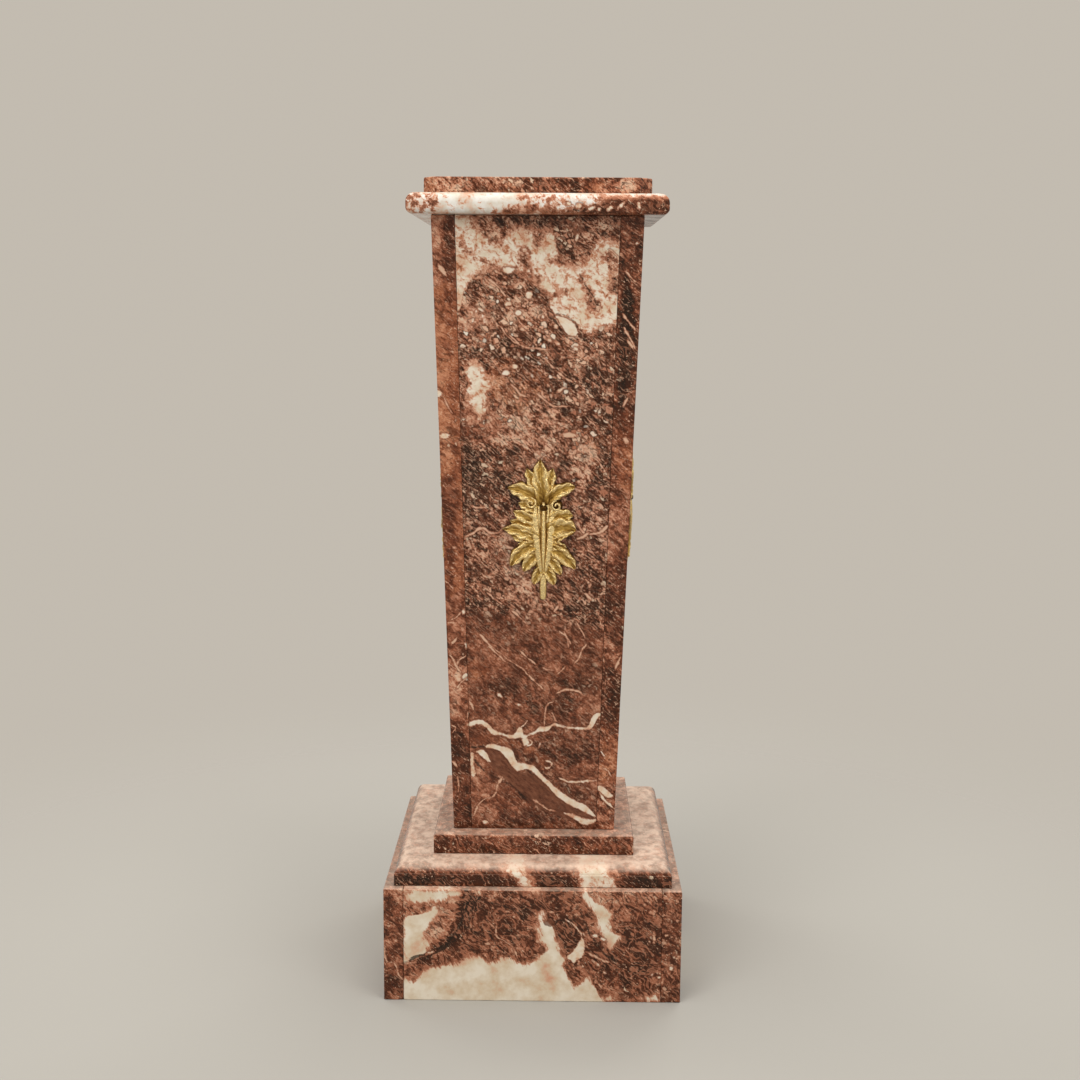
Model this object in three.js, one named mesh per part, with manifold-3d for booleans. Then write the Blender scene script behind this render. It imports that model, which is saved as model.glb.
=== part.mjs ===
// Marble pedestal with gilt acanthus castings, in millimetres, +Z up.
// The origin is the centre of its footprint on the floor, and its front looks towards -Y.
// It is built as a stone mason builds it: slabs glued edge to edge make a hollow base block and a
// hollow shaft, solid slabs make the tiers between them, and one steel rod clamps the stack together.

import * as THREE from 'three';
import { mergeVertices } from 'three/addons/utils/BufferGeometryUtils.js';
import Module from 'manifold-3d';

const wasm = await Module();
wasm.setup();

// ---------------------------------------------------------------------------------------------
// Driving dimensions
// ---------------------------------------------------------------------------------------------

// The bed of glue between two stones, and the fine chamfer that a mason rubs on every cut edge.
const glueLine = 0.3;
const arris = 1;
const seamArris = 0.7;

// Base block: four upright slabs around a hollow.
const baseWidth = 366;
const baseHeight = 143;
const baseSlab = 24;
const cornerBlock = 34;
const cornerBlockHeight = 110;

// Moulded tier: an upright fillet below, and above it a slope that rounds over to a flat top.
const mouldingWidth = 342;
const mouldingFillet = 15.4;
const mouldingRise = 9.8;
const mouldingInset = 14;
const mouldingStart = Math.PI / 8;

// Plain step under the shaft.
const stepWidth = 251;
const stepHeight = 24.7;
const stepRound = 3;

// Shaft: it widens from foot to head, and its corner posts widen with it.
const footWidth = 203;
const headWidth = 253;
const shaftHeight = 762.4;
const postAtFoot = 22.5;
const postAtHead = 28;
const panelThickness = 20;

// Stone plates that close the hollow shaft and centre the rod.
const footPlateHeight = 20;
const headPlateHeight = 22;

// Cornice: a slab whose edge is rounded above and below.
const corniceWidth = 308;
const corniceHeight = 24.7;
const corniceUpperRound = 11;
const corniceLowerRound = 7;

// Top slab: thinner, with its four corners cut off.
const topWidth = 270;
const topHeight = 18.5;
const topCant = 14;
const topArris = 1.6;

// Tie rod with its nuts, the square plate under the moulded tier and the washer in the cornice.
const rodRadius = 6;
const rodHoleRadius = 8;
const rodEnd = 6;
const threadClearance = 0.3;
const nutAcrossFlats = 19;
const nutHeight = 10;
const bearingPlateWidth = 90;
const bearingPlateThickness = 6;
const washerRadius = 18;
const washerThickness = 3;
const counterboreRadius = 22;
const nutRecess = 1;

// Gilt castings: their place on the shaft, and the studs on their backs.
const castingHeight = 580;
const castingLength = 175;
const castingShift = 9.5;
const leftSpread = 1.12;
const rightSpread = 0.88;
const studRadius = 2;
const studSpacing = 92;
const studDrop = 14;
const studRoot = 2;
const studHoleRadius = 3;
const studNutAcrossFlats = 8;
const studNutHeight = 4;
const studEnd = 3;

// Faces given to round work.
const roundSides = 24;
const smallSides = 12;
const arcSteps = 5;

// ---------------------------------------------------------------------------------------------
// Levels, worked out upwards from the floor
// ---------------------------------------------------------------------------------------------

const mouldingHeight = mouldingFillet + mouldingRise;
const mouldingLevel = baseHeight + glueLine;
const stepLevel = mouldingLevel + mouldingHeight + glueLine;
const shaftLevel = stepLevel + stepHeight + glueLine;
const corniceLevel = shaftLevel + shaftHeight + glueLine;
const topLevel = corniceLevel + corniceHeight + glueLine;

// Inside the cornice's counterbore: the washer lies on its floor, and the nut ends below its mouth.
const washerLevel = corniceLevel + corniceHeight - nutRecess - nutHeight - glueLine - washerThickness;
const counterboreFloor = washerLevel - glueLine - corniceLevel;

// The shaft's faces lean outwards by this angle.
const shaftLean = Math.atan2((headWidth - footWidth) / 2, shaftHeight);

// ---------------------------------------------------------------------------------------------
// Finishes
// ---------------------------------------------------------------------------------------------

const marble = (color) => new THREE.MeshStandardMaterial({ color, roughness: 0.25, metalness: 0 });
const brownMarble = marble(0x6f4636);
const redMarble = marble(0x8a5a46);
const creamMarble = marble(0xcdb193);
const gilt = new THREE.MeshStandardMaterial({ color: 0xd0a040, roughness: 0.3, metalness: 1 });
const steel = new THREE.MeshStandardMaterial({ color: 0x8c8f92, roughness: 0.4, metalness: 1 });

// ---------------------------------------------------------------------------------------------
// Shaping helpers
// ---------------------------------------------------------------------------------------------

// A closed geometry as a solid that can be joined and cut.
function toSolid(geometry) {
  const bare = geometry.clone();
  bare.deleteAttribute('normal');
  bare.deleteAttribute('uv');
  const merged = mergeVertices(bare, 1e-4);
  return new wasm.Manifold(new wasm.Mesh({
    numProp: 3,
    vertProperties: new Float32Array(merged.attributes.position.array),
    triVerts: new Uint32Array(merged.index.array),
  }));
}

// A solid back as a geometry.
function toGeometry(solid) {
  const mesh = solid.getMesh();
  const geometry = new THREE.BufferGeometry();
  geometry.setAttribute('position', new THREE.BufferAttribute(new Float32Array(mesh.vertProperties), 3));
  geometry.setIndex(new THREE.BufferAttribute(new Uint32Array(mesh.triVerts), 1));
  return geometry;
}

// The first geometry with all the others cut out of it.
function cut(geometry, ...tools) {
  const solid = tools.reduce((rest, tool) => rest.subtract(toSolid(tool)), toSolid(geometry));
  return toGeometry(solid);
}

// An upright cylinder that stands on the level `from`.
function uprightCylinder(radius, from, to, sides = roundSides) {
  const geometry = new THREE.CylinderGeometry(radius, radius, to - from, sides);
  geometry.rotateX(Math.PI / 2);
  geometry.translate(0, 0, (from + to) / 2);
  return geometry;
}

// A solid through a stack of level outlines, the lowest first, all with as many points.
function loft(sections) {
  const count = sections[0].outline.length;
  const vertices = sections.flatMap(({ level, outline }) => outline.flatMap(([x, y]) => [x, y, level]));
  const walls = sections.slice(1).flatMap((_, storey) => sections[0].outline.flatMap((__, i) => {
    const a = storey * count + i;
    const b = storey * count + (i + 1) % count;
    return [a, b, b + count, a, b + count, a + count];
  }));
  const flat = sections[0].outline.map(([x, y]) => new THREE.Vector2(x, y));
  const cap = THREE.ShapeUtils.triangulateShape(flat, []);
  const last = (sections.length - 1) * count;
  const floor = cap.flatMap(([a, b, c]) => [a, c, b]);
  const ceiling = cap.flatMap(([a, b, c]) => [last + a, last + b, last + c]);
  const geometry = new THREE.BufferGeometry();
  geometry.setAttribute('position', new THREE.Float32BufferAttribute(vertices, 3));
  geometry.setIndex([...walls, ...floor, ...ceiling]);
  return geometry;
}

// Corners of a square around the axis.
function square(half) {
  return [[-half, -half], [half, -half], [half, half], [-half, half]];
}

// A square slab whose edge follows a profile of half-widths and levels, with mitred corners.
function mitredSlab(profile) {
  const sections = profile.getPoints(arcSteps).map(({ x, y }) => ({ level: y, outline: square(x) }));
  return loft(sections);
}

// A rectangular block standing on level 0, its upright edges and its rims chamfered.
function easedBlock(width, depth, height, corner, rim) {
  const x = width / 2;
  const y = depth / 2;
  const plan = new THREE.Shape();
  plan.moveTo(corner - x, -y);
  plan.lineTo(x - corner, -y);
  plan.lineTo(x, corner - y);
  plan.lineTo(x, y - corner);
  plan.lineTo(x - corner, y);
  plan.lineTo(corner - x, y);
  plan.lineTo(-x, y - corner);
  plan.lineTo(-x, corner - y);
  plan.closePath();
  const geometry = new THREE.ExtrudeGeometry(plan, {
    depth: height - 2 * rim,
    bevelThickness: rim,
    bevelSize: rim,
    bevelOffset: -rim,
    bevelSegments: 1,
  });
  geometry.translate(0, 0, rim);
  return geometry;
}

// A hexagonal nut on level 0, bored for a rod.
function nut(acrossFlats, height, boreRadius) {
  const corners = acrossFlats / Math.sqrt(3);
  const body = uprightCylinder(corners, 0, height, 6);
  return cut(body, uprightCylinder(boreRadius, -1, height + 1, smallSides));
}

// A named piece of the pedestal.
function piece(name, geometry, material, x = 0, y = 0, z = 0) {
  const mesh = new THREE.Mesh(geometry, material);
  mesh.name = name;
  mesh.position.set(x, y, z);
  return mesh;
}

// ---------------------------------------------------------------------------------------------
// Base block
// ---------------------------------------------------------------------------------------------

// The side slabs run the full depth, so their ends show as strips beside the front slab.
function baseBlock(group) {
  const between = baseWidth - 2 * (baseSlab + glueLine);
  const offset = (baseWidth - baseSlab) / 2;
  const side = easedBlock(baseSlab, baseWidth, baseHeight, arris, arris);
  const face = easedBlock(between, baseSlab, baseHeight, seamArris, arris);
  group.add(piece('base_left_slab', side, brownMarble, -offset));
  group.add(piece('base_right_slab', side, brownMarble, offset));
  group.add(piece('base_front_slab', face, redMarble, 0, -offset));
  group.add(piece('base_back_slab', face, redMarble, 0, offset));
}

// Square stone blocks glued into the inner corners stiffen the base block and carry the tier above.
function cornerBlocks(group) {
  const reach = baseWidth / 2 - baseSlab - glueLine - cornerBlock / 2;
  const block = easedBlock(cornerBlock, cornerBlock, cornerBlockHeight, arris, arris);
  const level = baseHeight - cornerBlockHeight;
  group.add(piece('base_front_left_block', block, brownMarble, -reach, -reach, level));
  group.add(piece('base_front_right_block', block, brownMarble, reach, -reach, level));
  group.add(piece('base_back_left_block', block, brownMarble, -reach, reach, level));
  group.add(piece('base_back_right_block', block, brownMarble, reach, reach, level));
}

// ---------------------------------------------------------------------------------------------
// Tiers
// ---------------------------------------------------------------------------------------------

// The slope is part of an ellipse that ends level with the flat top.
function mouldedTier() {
  const half = mouldingWidth / 2;
  const reach = mouldingInset / Math.cos(mouldingStart);
  const lift = mouldingRise / (1 - Math.sin(mouldingStart));
  const profile = new THREE.Path();
  profile.moveTo(half - arris, 0);
  profile.lineTo(half, arris);
  profile.lineTo(half, mouldingFillet);
  profile.absellipse(half - mouldingInset, mouldingHeight - lift, reach, lift, mouldingStart, Math.PI / 2);
  return cut(mitredSlab(profile), uprightCylinder(rodHoleRadius, -1, mouldingHeight + 1));
}

function plinthStep() {
  const half = stepWidth / 2;
  const profile = new THREE.Path();
  profile.moveTo(half - arris, 0);
  profile.lineTo(half, arris);
  profile.absarc(half - stepRound, stepHeight - stepRound, stepRound, 0, Math.PI / 2);
  return cut(mitredSlab(profile), uprightCylinder(rodHoleRadius, -1, stepHeight + 1));
}

// The cornice has a counterbore above for the upper nut, which the top slab covers.
function corniceSlab() {
  const half = corniceWidth / 2;
  const profile = new THREE.Path();
  profile.absarc(half - corniceLowerRound, corniceLowerRound, corniceLowerRound, -Math.PI / 2, 0);
  profile.absarc(half - corniceUpperRound, corniceHeight - corniceUpperRound, corniceUpperRound,
    0, Math.PI / 2);
  const hole = uprightCylinder(rodHoleRadius, -1, corniceHeight + 1);
  const counterbore = uprightCylinder(counterboreRadius, counterboreFloor, corniceHeight + 1);
  return cut(mitredSlab(profile), hole, counterbore);
}

// ---------------------------------------------------------------------------------------------
// Shaft
// ---------------------------------------------------------------------------------------------

// Plan of the front left corner post where the shaft is `half` wide from its axis.
function postPlan(half, post) {
  return [
    [arris - half, -half],
    [post - half - seamArris, -half],
    [post - half, seamArris - half],
    [post - half, post - half],
    [seamArris - half, post - half],
    [-half, post - half - seamArris],
    [-half, arris - half],
  ];
}

// Plan of the front panel between two posts.
function panelPlan(half, post) {
  const end = half - post - glueLine;
  return [
    [seamArris - end, -half],
    [end - seamArris, -half],
    [end, seamArris - half],
    [end, panelThickness - half],
    [-end, panelThickness - half],
    [-end, seamArris - half],
  ];
}

// Half-width of the shaft at a height above the floor.
function shaftHalfAt(level) {
  const share = (level - shaftLevel) / shaftHeight;
  return (footWidth + (headWidth - footWidth) * share) / 2;
}

// A piece of the shaft from foot to head, with its plan given for any half-width.
function shaftPiece(plan) {
  return loft([
    { level: 0, outline: plan(footWidth / 2, postAtFoot) },
    { level: shaftHeight, outline: plan(headWidth / 2, postAtHead) },
  ]);
}

// A panel that carries a casting is drilled for its studs.
function drilledPanel(shift) {
  const seat = castingSeat(shift);
  const holes = studHeights.map((height) => {
    const hole = new THREE.CylinderGeometry(studHoleRadius, studHoleRadius, 4 * panelThickness, smallSides);
    hole.rotateX(Math.PI / 2);
    hole.translate(0, height, 0);
    hole.applyMatrix4(seat.matrix);
    hole.translate(0, 0, -shaftLevel);
    return hole;
  });
  return cut(shaftPiece(panelPlan), ...holes);
}

// Four posts and four panels, each turned a quarter further round the axis than the last.
function shaft(group) {
  const posts = ['shaft_front_left_post', 'shaft_front_right_post',
    'shaft_back_right_post', 'shaft_back_left_post'];
  const postShape = shaftPiece(postPlan);
  posts.forEach((name, quarter) => {
    const post = piece(name, postShape, brownMarble, 0, 0, shaftLevel);
    post.rotation.z = quarter * Math.PI / 2;
    group.add(post);
  });
  const panels = ['shaft_front_panel', 'shaft_right_panel', 'shaft_back_panel', 'shaft_left_panel'];
  const panelShapes = [drilledPanel(castingShift), drilledPanel(0), shaftPiece(panelPlan), drilledPanel(0)];
  panels.forEach((name, quarter) => {
    const panel = piece(name, panelShapes[quarter], redMarble, 0, 0, shaftLevel);
    panel.rotation.z = quarter * Math.PI / 2;
    group.add(panel);
  });
}

// A square plate held between the four posts, from one level of the shaft to another.
function shaftPlate(from, to) {
  const plan = (level) => {
    const share = (level - shaftLevel) / shaftHeight;
    const post = postAtFoot + (postAtHead - postAtFoot) * share;
    return square(shaftHalfAt(level) - post - glueLine);
  };
  const block = loft([{ level: 0, outline: plan(from) }, { level: to - from, outline: plan(to) }]);
  return cut(block, uprightCylinder(rodHoleRadius, -1, to - from + 1));
}

// ---------------------------------------------------------------------------------------------
// Tie rod
// ---------------------------------------------------------------------------------------------

function tieRod(group) {
  const plateLevel = mouldingLevel - glueLine - bearingPlateThickness;
  const lowerNutLevel = plateLevel - glueLine - nutHeight;
  const upperNutLevel = washerLevel + washerThickness + glueLine;
  const rod = uprightCylinder(rodRadius, lowerNutLevel - rodEnd, upperNutLevel + nutHeight);
  const hole = rodRadius + threadClearance;
  const plate = easedBlock(bearingPlateWidth, bearingPlateWidth, bearingPlateThickness, arris, arris / 2);
  const washer = uprightCylinder(washerRadius, 0, washerThickness);
  const plateHole = uprightCylinder(hole, -1, bearingPlateThickness + 1);
  const nutShape = nut(nutAcrossFlats, nutHeight, hole);
  group.add(piece('tie_rod', rod, steel));
  group.add(piece('lower_bearing_plate', cut(plate, plateHole), steel, 0, 0, plateLevel));
  group.add(piece('lower_nut', nutShape, steel, 0, 0, lowerNutLevel));
  group.add(piece('upper_washer', cut(washer, plateHole), steel, 0, 0, washerLevel));
  group.add(piece('upper_nut', nutShape, steel, 0, 0, upperNutLevel));
}

// ---------------------------------------------------------------------------------------------
// Acanthus castings
// ---------------------------------------------------------------------------------------------

// Across a lobe, from edge to edge, its height as a share of its rise.
const fluted = [0.45, 1, 0.6, 1, 0.45];
const rounded = [0.35, 0.86, 1, 0.86, 0.35];
const lobeSteps = 4;

// Share of its width that a lobe has at its root, and how round its swelling is.
const rootPhase = 0.2;
const swelling = 0.65;

// One lobe of the leaf: it follows a bent line from its root to its tip, swells and then narrows to
// a tip that is a small share of its width, and is fluted or rounded across. Its back is flat.
function lobe({ root, tip, bend = 0, width, rise, flick = 0, point = 0.1, across = fluted }) {
  const from = new THREE.Vector2(...root);
  const to = new THREE.Vector2(...tip);
  const along = to.clone().sub(from);
  const middle = from.clone().add(to).multiplyScalar(0.5);
  middle.add(new THREE.Vector2(-along.y, along.x).multiplyScalar(bend));
  const spine = new THREE.QuadraticBezierCurve(from, middle, to);
  const vertices = [];
  for (let i = 0; i <= lobeSteps; i += 1) {
    const t = i / lobeSteps;
    const centre = spine.getPoint(t);
    const tangent = spine.getTangent(t);
    const phase = Math.PI * (rootPhase + (1 - rootPhase) * t);
    const reach = width * Math.max(Math.max(Math.sin(phase), 0) ** swelling, point);
    const lift = rise * (0.8 + 0.2 * Math.sin(Math.PI * t)) + flick * t * t;
    const place = (side, height) => {
      vertices.push(centre.x - tangent.y * side, centre.y + tangent.x * side, height);
    };
    across.forEach((share, k) => place((k / (across.length - 1) - 0.5) * reach, share * lift));
    place(-reach / 2, 0);
    place(reach / 2, 0);
  }
  return ringLoft(vertices, across.length, lobeSteps);
}

// Joins the cross-sections of a lobe into one closed solid. A section has its upper points in
// order, and then the two points of its flat back.
function ringLoft(vertices, count, steps) {
  const ring = count + 2;
  const order = [...Array(count).keys(), count + 1, count];
  const index = [];
  for (let i = 0; i < steps; i += 1) {
    order.forEach((a, k) => {
      const b = order[(k + 1) % ring];
      const low = i * ring;
      const high = low + ring;
      index.push(low + a, high + a, high + b, low + a, high + b, low + b);
    });
  }
  const last = steps * ring;
  for (let k = 1; k < ring - 1; k += 1) {
    index.push(order[0], order[k], order[k + 1]);
    index.push(last + order[0], last + order[k + 1], last + order[k]);
  }
  const geometry = new THREE.BufferGeometry();
  geometry.setAttribute('position', new THREE.Float32BufferAttribute(vertices, 3));
  geometry.setIndex(index);
  return geometry;
}

// The curled scroll beside the spine: a round boss with a raised rim and a bead in its middle.
function scroll(x, y) {
  const profile = new THREE.Path();
  profile.moveTo(0, 0);
  profile.lineTo(8.5, 0);
  profile.lineTo(8.2, 5);
  profile.lineTo(6.6, 8);
  profile.lineTo(4.6, 5.4);
  profile.lineTo(2.6, 5.4);
  profile.lineTo(0, 8.2);
  const geometry = new THREE.LatheGeometry(profile.getPoints(1), smallSides);
  geometry.rotateX(Math.PI / 2);
  geometry.translate(x, y, 0);
  return geometry;
}

// The lobes on one side of the casting, from the top down; `s` is the side's spread, with its sign.
function sideLobes(s) {
  const b = Math.sign(s);
  return [
    lobe({ root: [3 * s, 40], tip: [16 * s, 75], bend: -0.08 * b, width: 14, rise: 6 }),
    lobe({ root: [2 * s, 28], tip: [21 * s, 61], bend: 0.06 * b, width: 8, rise: 8 }),
    lobe({ root: [8 * s, 26], tip: [41 * s, 51.5], bend: 0.12 * b, width: 17, rise: 7, flick: 1.5 }),
    lobe({ root: [8 * s, 20], tip: [30 * s, 34], bend: 0.05 * b, width: 14, rise: 5 }),
    lobe({ root: [6 * s, 2], tip: [37 * s, 20.5], bend: 0.12 * b, width: 15, rise: 5 }),
    lobe({ root: [5 * s, -6], tip: [41 * s, 10], bend: 0.12 * b, width: 14, rise: 6.5 }),
    lobe({ root: [4 * s, -16], tip: [46 * s, 2], bend: 0.2 * b, width: 17, rise: 7.5, flick: 1.5 }),
    lobe({ root: [4 * s, -24], tip: [37 * s, -8], bend: 0.1 * b, width: 16, rise: 6 }),
    lobe({ root: [4 * s, -27], tip: [30 * s, -22], bend: 0.05 * b, width: 14, rise: 5 }),
    lobe({ root: [6 * s, -24], tip: [40 * s, -46], bend: 0.12 * b, width: 15, rise: 7, flick: 1.5 }),
    lobe({ root: [4 * s, -32], tip: [22.5 * s, -55], bend: 0.08 * b, width: 11, rise: 6, flick: 1 }),
    lobe({ root: [2 * s, -46], tip: [13 * s, -68], bend: 0.08 * b, width: 10.5, rise: 5 }),
    scroll(16 * s, 31),
  ];
}

// Top lobe, leaf body, spine and stem, which both sides share.
function middleLobes() {
  return [
    lobe({ root: [0, 32], tip: [-4, 87.5], bend: 0.03, width: 22, rise: 8, flick: 1 }),
    lobe({ root: [0, 46], tip: [0, -58], width: 22, rise: 6, across: rounded }),
    lobe({ root: [0, 36], tip: [0, -54], width: 8, rise: 10, across: rounded }),
    lobe({ root: [0, -48], tip: [0, -87.5], width: 9, rise: 4.5, point: 0.75, across: rounded }),
  ];
}

const studHeights = [studSpacing / 2 - studDrop, -studSpacing / 2 - studDrop];

// The studs are brazed to the back of the casting and reach through the panel.
function stud(height) {
  const length = panelThickness + studNutHeight + studEnd;
  const geometry = new THREE.CylinderGeometry(studRadius, studRadius, length, smallSides);
  geometry.rotateX(Math.PI / 2);
  geometry.translate(0, height, studRoot - length / 2);
  return geometry;
}

// The lobes and scrolls are drawn for a casting 175 long, and scaled from there to its length.
function casting() {
  const lobes = [...middleLobes(), ...sideLobes(-leftSpread), ...sideLobes(rightSpread)];
  const leaf = lobes.map(toSolid).reduce((all, shape) => all.add(shape)).scale(castingLength / 175);
  return toGeometry(studHeights.map(stud).map(toSolid).reduce((all, shape) => all.add(shape), leaf));
}

// The seat of a casting on the front face: x runs along the face, y up it and z out of it.
function castingSeat(shift) {
  const seat = new THREE.Group();
  seat.position.set(shift, -shaftHalfAt(castingHeight), castingHeight);
  seat.rotation.x = Math.PI / 2 + shaftLean;
  seat.updateMatrix();
  return seat;
}

// Level of a casting's nuts behind the face of the shaft.
const studNutSeat = -panelThickness * Math.cos(shaftLean) - glueLine - studNutHeight;

// The casting on the front, and the same casting on the two sides.
function castings(group) {
  const shape = casting();
  const nutShape = nut(studNutAcrossFlats, studNutHeight, studRadius + threadClearance);
  const [upper, lower] = studHeights;
  const places = [['front', 0, castingShift], ['right', 1, 0], ['left', 3, 0]];
  places.forEach(([side, quarter, shift]) => {
    const turn = new THREE.Group();
    turn.rotation.z = quarter * Math.PI / 2;
    const seat = castingSeat(shift);
    seat.add(piece(`${side}_mount`, shape, gilt, 0, 0, glueLine));
    seat.add(piece(`${side}_mount_upper_nut`, nutShape, steel, 0, upper, studNutSeat));
    seat.add(piece(`${side}_mount_lower_nut`, nutShape, steel, 0, lower, studNutSeat));
    turn.add(seat);
    group.add(turn);
  });
}

// ---------------------------------------------------------------------------------------------
// Assembly
// ---------------------------------------------------------------------------------------------

function pedestal() {
  const group = new THREE.Group();
  const head = shaftLevel + shaftHeight;
  baseBlock(group);
  cornerBlocks(group);
  group.add(piece('base_moulding', mouldedTier(), brownMarble, 0, 0, mouldingLevel));
  group.add(piece('plinth_step', plinthStep(), brownMarble, 0, 0, stepLevel));
  shaft(group);
  const footPlate = shaftPlate(shaftLevel, shaftLevel + footPlateHeight);
  const headPlate = shaftPlate(head - headPlateHeight, head);
  group.add(piece('shaft_foot_plate', footPlate, brownMarble, 0, 0, shaftLevel));
  group.add(piece('shaft_head_plate', headPlate, brownMarble, 0, 0, head - headPlateHeight));
  group.add(piece('cornice_slab', corniceSlab(), creamMarble, 0, 0, corniceLevel));
  const top = easedBlock(topWidth, topWidth, topHeight, topCant, topArris);
  group.add(piece('top_slab', top, redMarble, 0, 0, topLevel));
  tieRod(group);
  castings(group);
  return group;
}

export default pedestal();
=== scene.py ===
# %% [markdown]
# # A marble pedestal column with gilt mounts
# The stand is built up from sawn and polished slabs of a red and brown brecciated marble. The CAD
# model gives every slab its place and size, so this lesson loads it first as a fixed frame, keeps
# its box for comparison, and then dresses each stone and each casting in that frame.

# %% Load the frame
import math

import bpy
import numpy as np
from mathutils import Matrix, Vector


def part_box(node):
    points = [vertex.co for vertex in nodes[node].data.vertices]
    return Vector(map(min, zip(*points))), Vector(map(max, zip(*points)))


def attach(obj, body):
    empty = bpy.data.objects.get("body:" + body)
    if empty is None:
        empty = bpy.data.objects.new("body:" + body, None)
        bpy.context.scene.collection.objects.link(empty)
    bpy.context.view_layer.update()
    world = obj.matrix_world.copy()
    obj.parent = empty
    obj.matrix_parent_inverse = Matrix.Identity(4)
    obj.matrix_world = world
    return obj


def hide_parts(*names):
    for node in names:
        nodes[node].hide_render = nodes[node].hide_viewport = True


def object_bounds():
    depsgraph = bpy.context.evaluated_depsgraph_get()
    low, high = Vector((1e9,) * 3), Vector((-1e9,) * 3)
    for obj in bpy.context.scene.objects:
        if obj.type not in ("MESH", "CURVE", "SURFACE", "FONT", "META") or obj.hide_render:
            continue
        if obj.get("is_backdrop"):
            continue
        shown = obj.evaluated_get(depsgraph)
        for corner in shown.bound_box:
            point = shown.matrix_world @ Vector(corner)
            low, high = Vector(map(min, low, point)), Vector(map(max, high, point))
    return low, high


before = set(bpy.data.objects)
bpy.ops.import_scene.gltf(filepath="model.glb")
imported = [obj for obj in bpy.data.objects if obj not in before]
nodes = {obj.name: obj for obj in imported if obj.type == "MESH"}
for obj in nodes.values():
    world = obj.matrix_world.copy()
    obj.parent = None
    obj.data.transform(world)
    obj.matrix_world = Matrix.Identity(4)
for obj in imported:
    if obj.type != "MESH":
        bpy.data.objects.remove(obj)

cad_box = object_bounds()
MM = 0.001
print("CAD nodes:", len(nodes), "box:", cad_box)


# %% [markdown]
# ## The camera
# The photograph was taken from a little above the middle of the shaft, about two metres away, with
# the camera tipped down by less than nine degrees. Its place and turn were fitted to the corners of
# the base, the shaft and the cornice. The camera is built from its own three axes, because a small
# roll is easier to keep that way than with three angles.

# %% Camera at the photograph's view
camera_place = np.array([0.0231, -2.006, 0.854])
camera_yaw, camera_pitch, camera_roll = -0.0094, -0.1507, 0.0071
camera_lens = 52.03


def camera_axes(yaw, pitch, roll):
    """Right, up and forward: forward from yaw and pitch, and the other two turned by the roll."""
    forward = np.array([math.sin(yaw) * math.cos(pitch), math.cos(yaw) * math.cos(pitch), math.sin(pitch)])
    level = np.array([math.cos(yaw), -math.sin(yaw), 0.0])
    upright = np.cross(level, forward)
    right = math.cos(roll) * level + math.sin(roll) * upright
    up = math.cos(roll) * upright - math.sin(roll) * level
    return right, up, forward


camera_right, camera_up, camera_forward = camera_axes(camera_yaw, camera_pitch, camera_roll)
camera = bpy.data.objects.new("camera", bpy.data.cameras.new("camera"))
camera.data.lens = camera_lens
camera.data.sensor_width = 36
turn = Matrix(np.column_stack([camera_right, camera_up, -camera_forward]).tolist())
camera.matrix_world = Matrix.Translation(camera_place.tolist()) @ turn.to_4x4()
bpy.context.scene.collection.objects.link(camera)
bpy.context.scene.camera = camera
bpy.context.scene.view_settings.view_transform = "Standard"
print("camera at", camera_place, "lens", camera_lens)


# %% [markdown]
# ## Nodes, named as a maker would
# Marble needs many small patterns laid over each other, and writing each node out would bury the
# recipe. This helper adds one node per call and gives back its output, so a finish reads like a
# list of steps. Lengths are in millimetres, because the patterns are measured on the stone.

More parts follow.
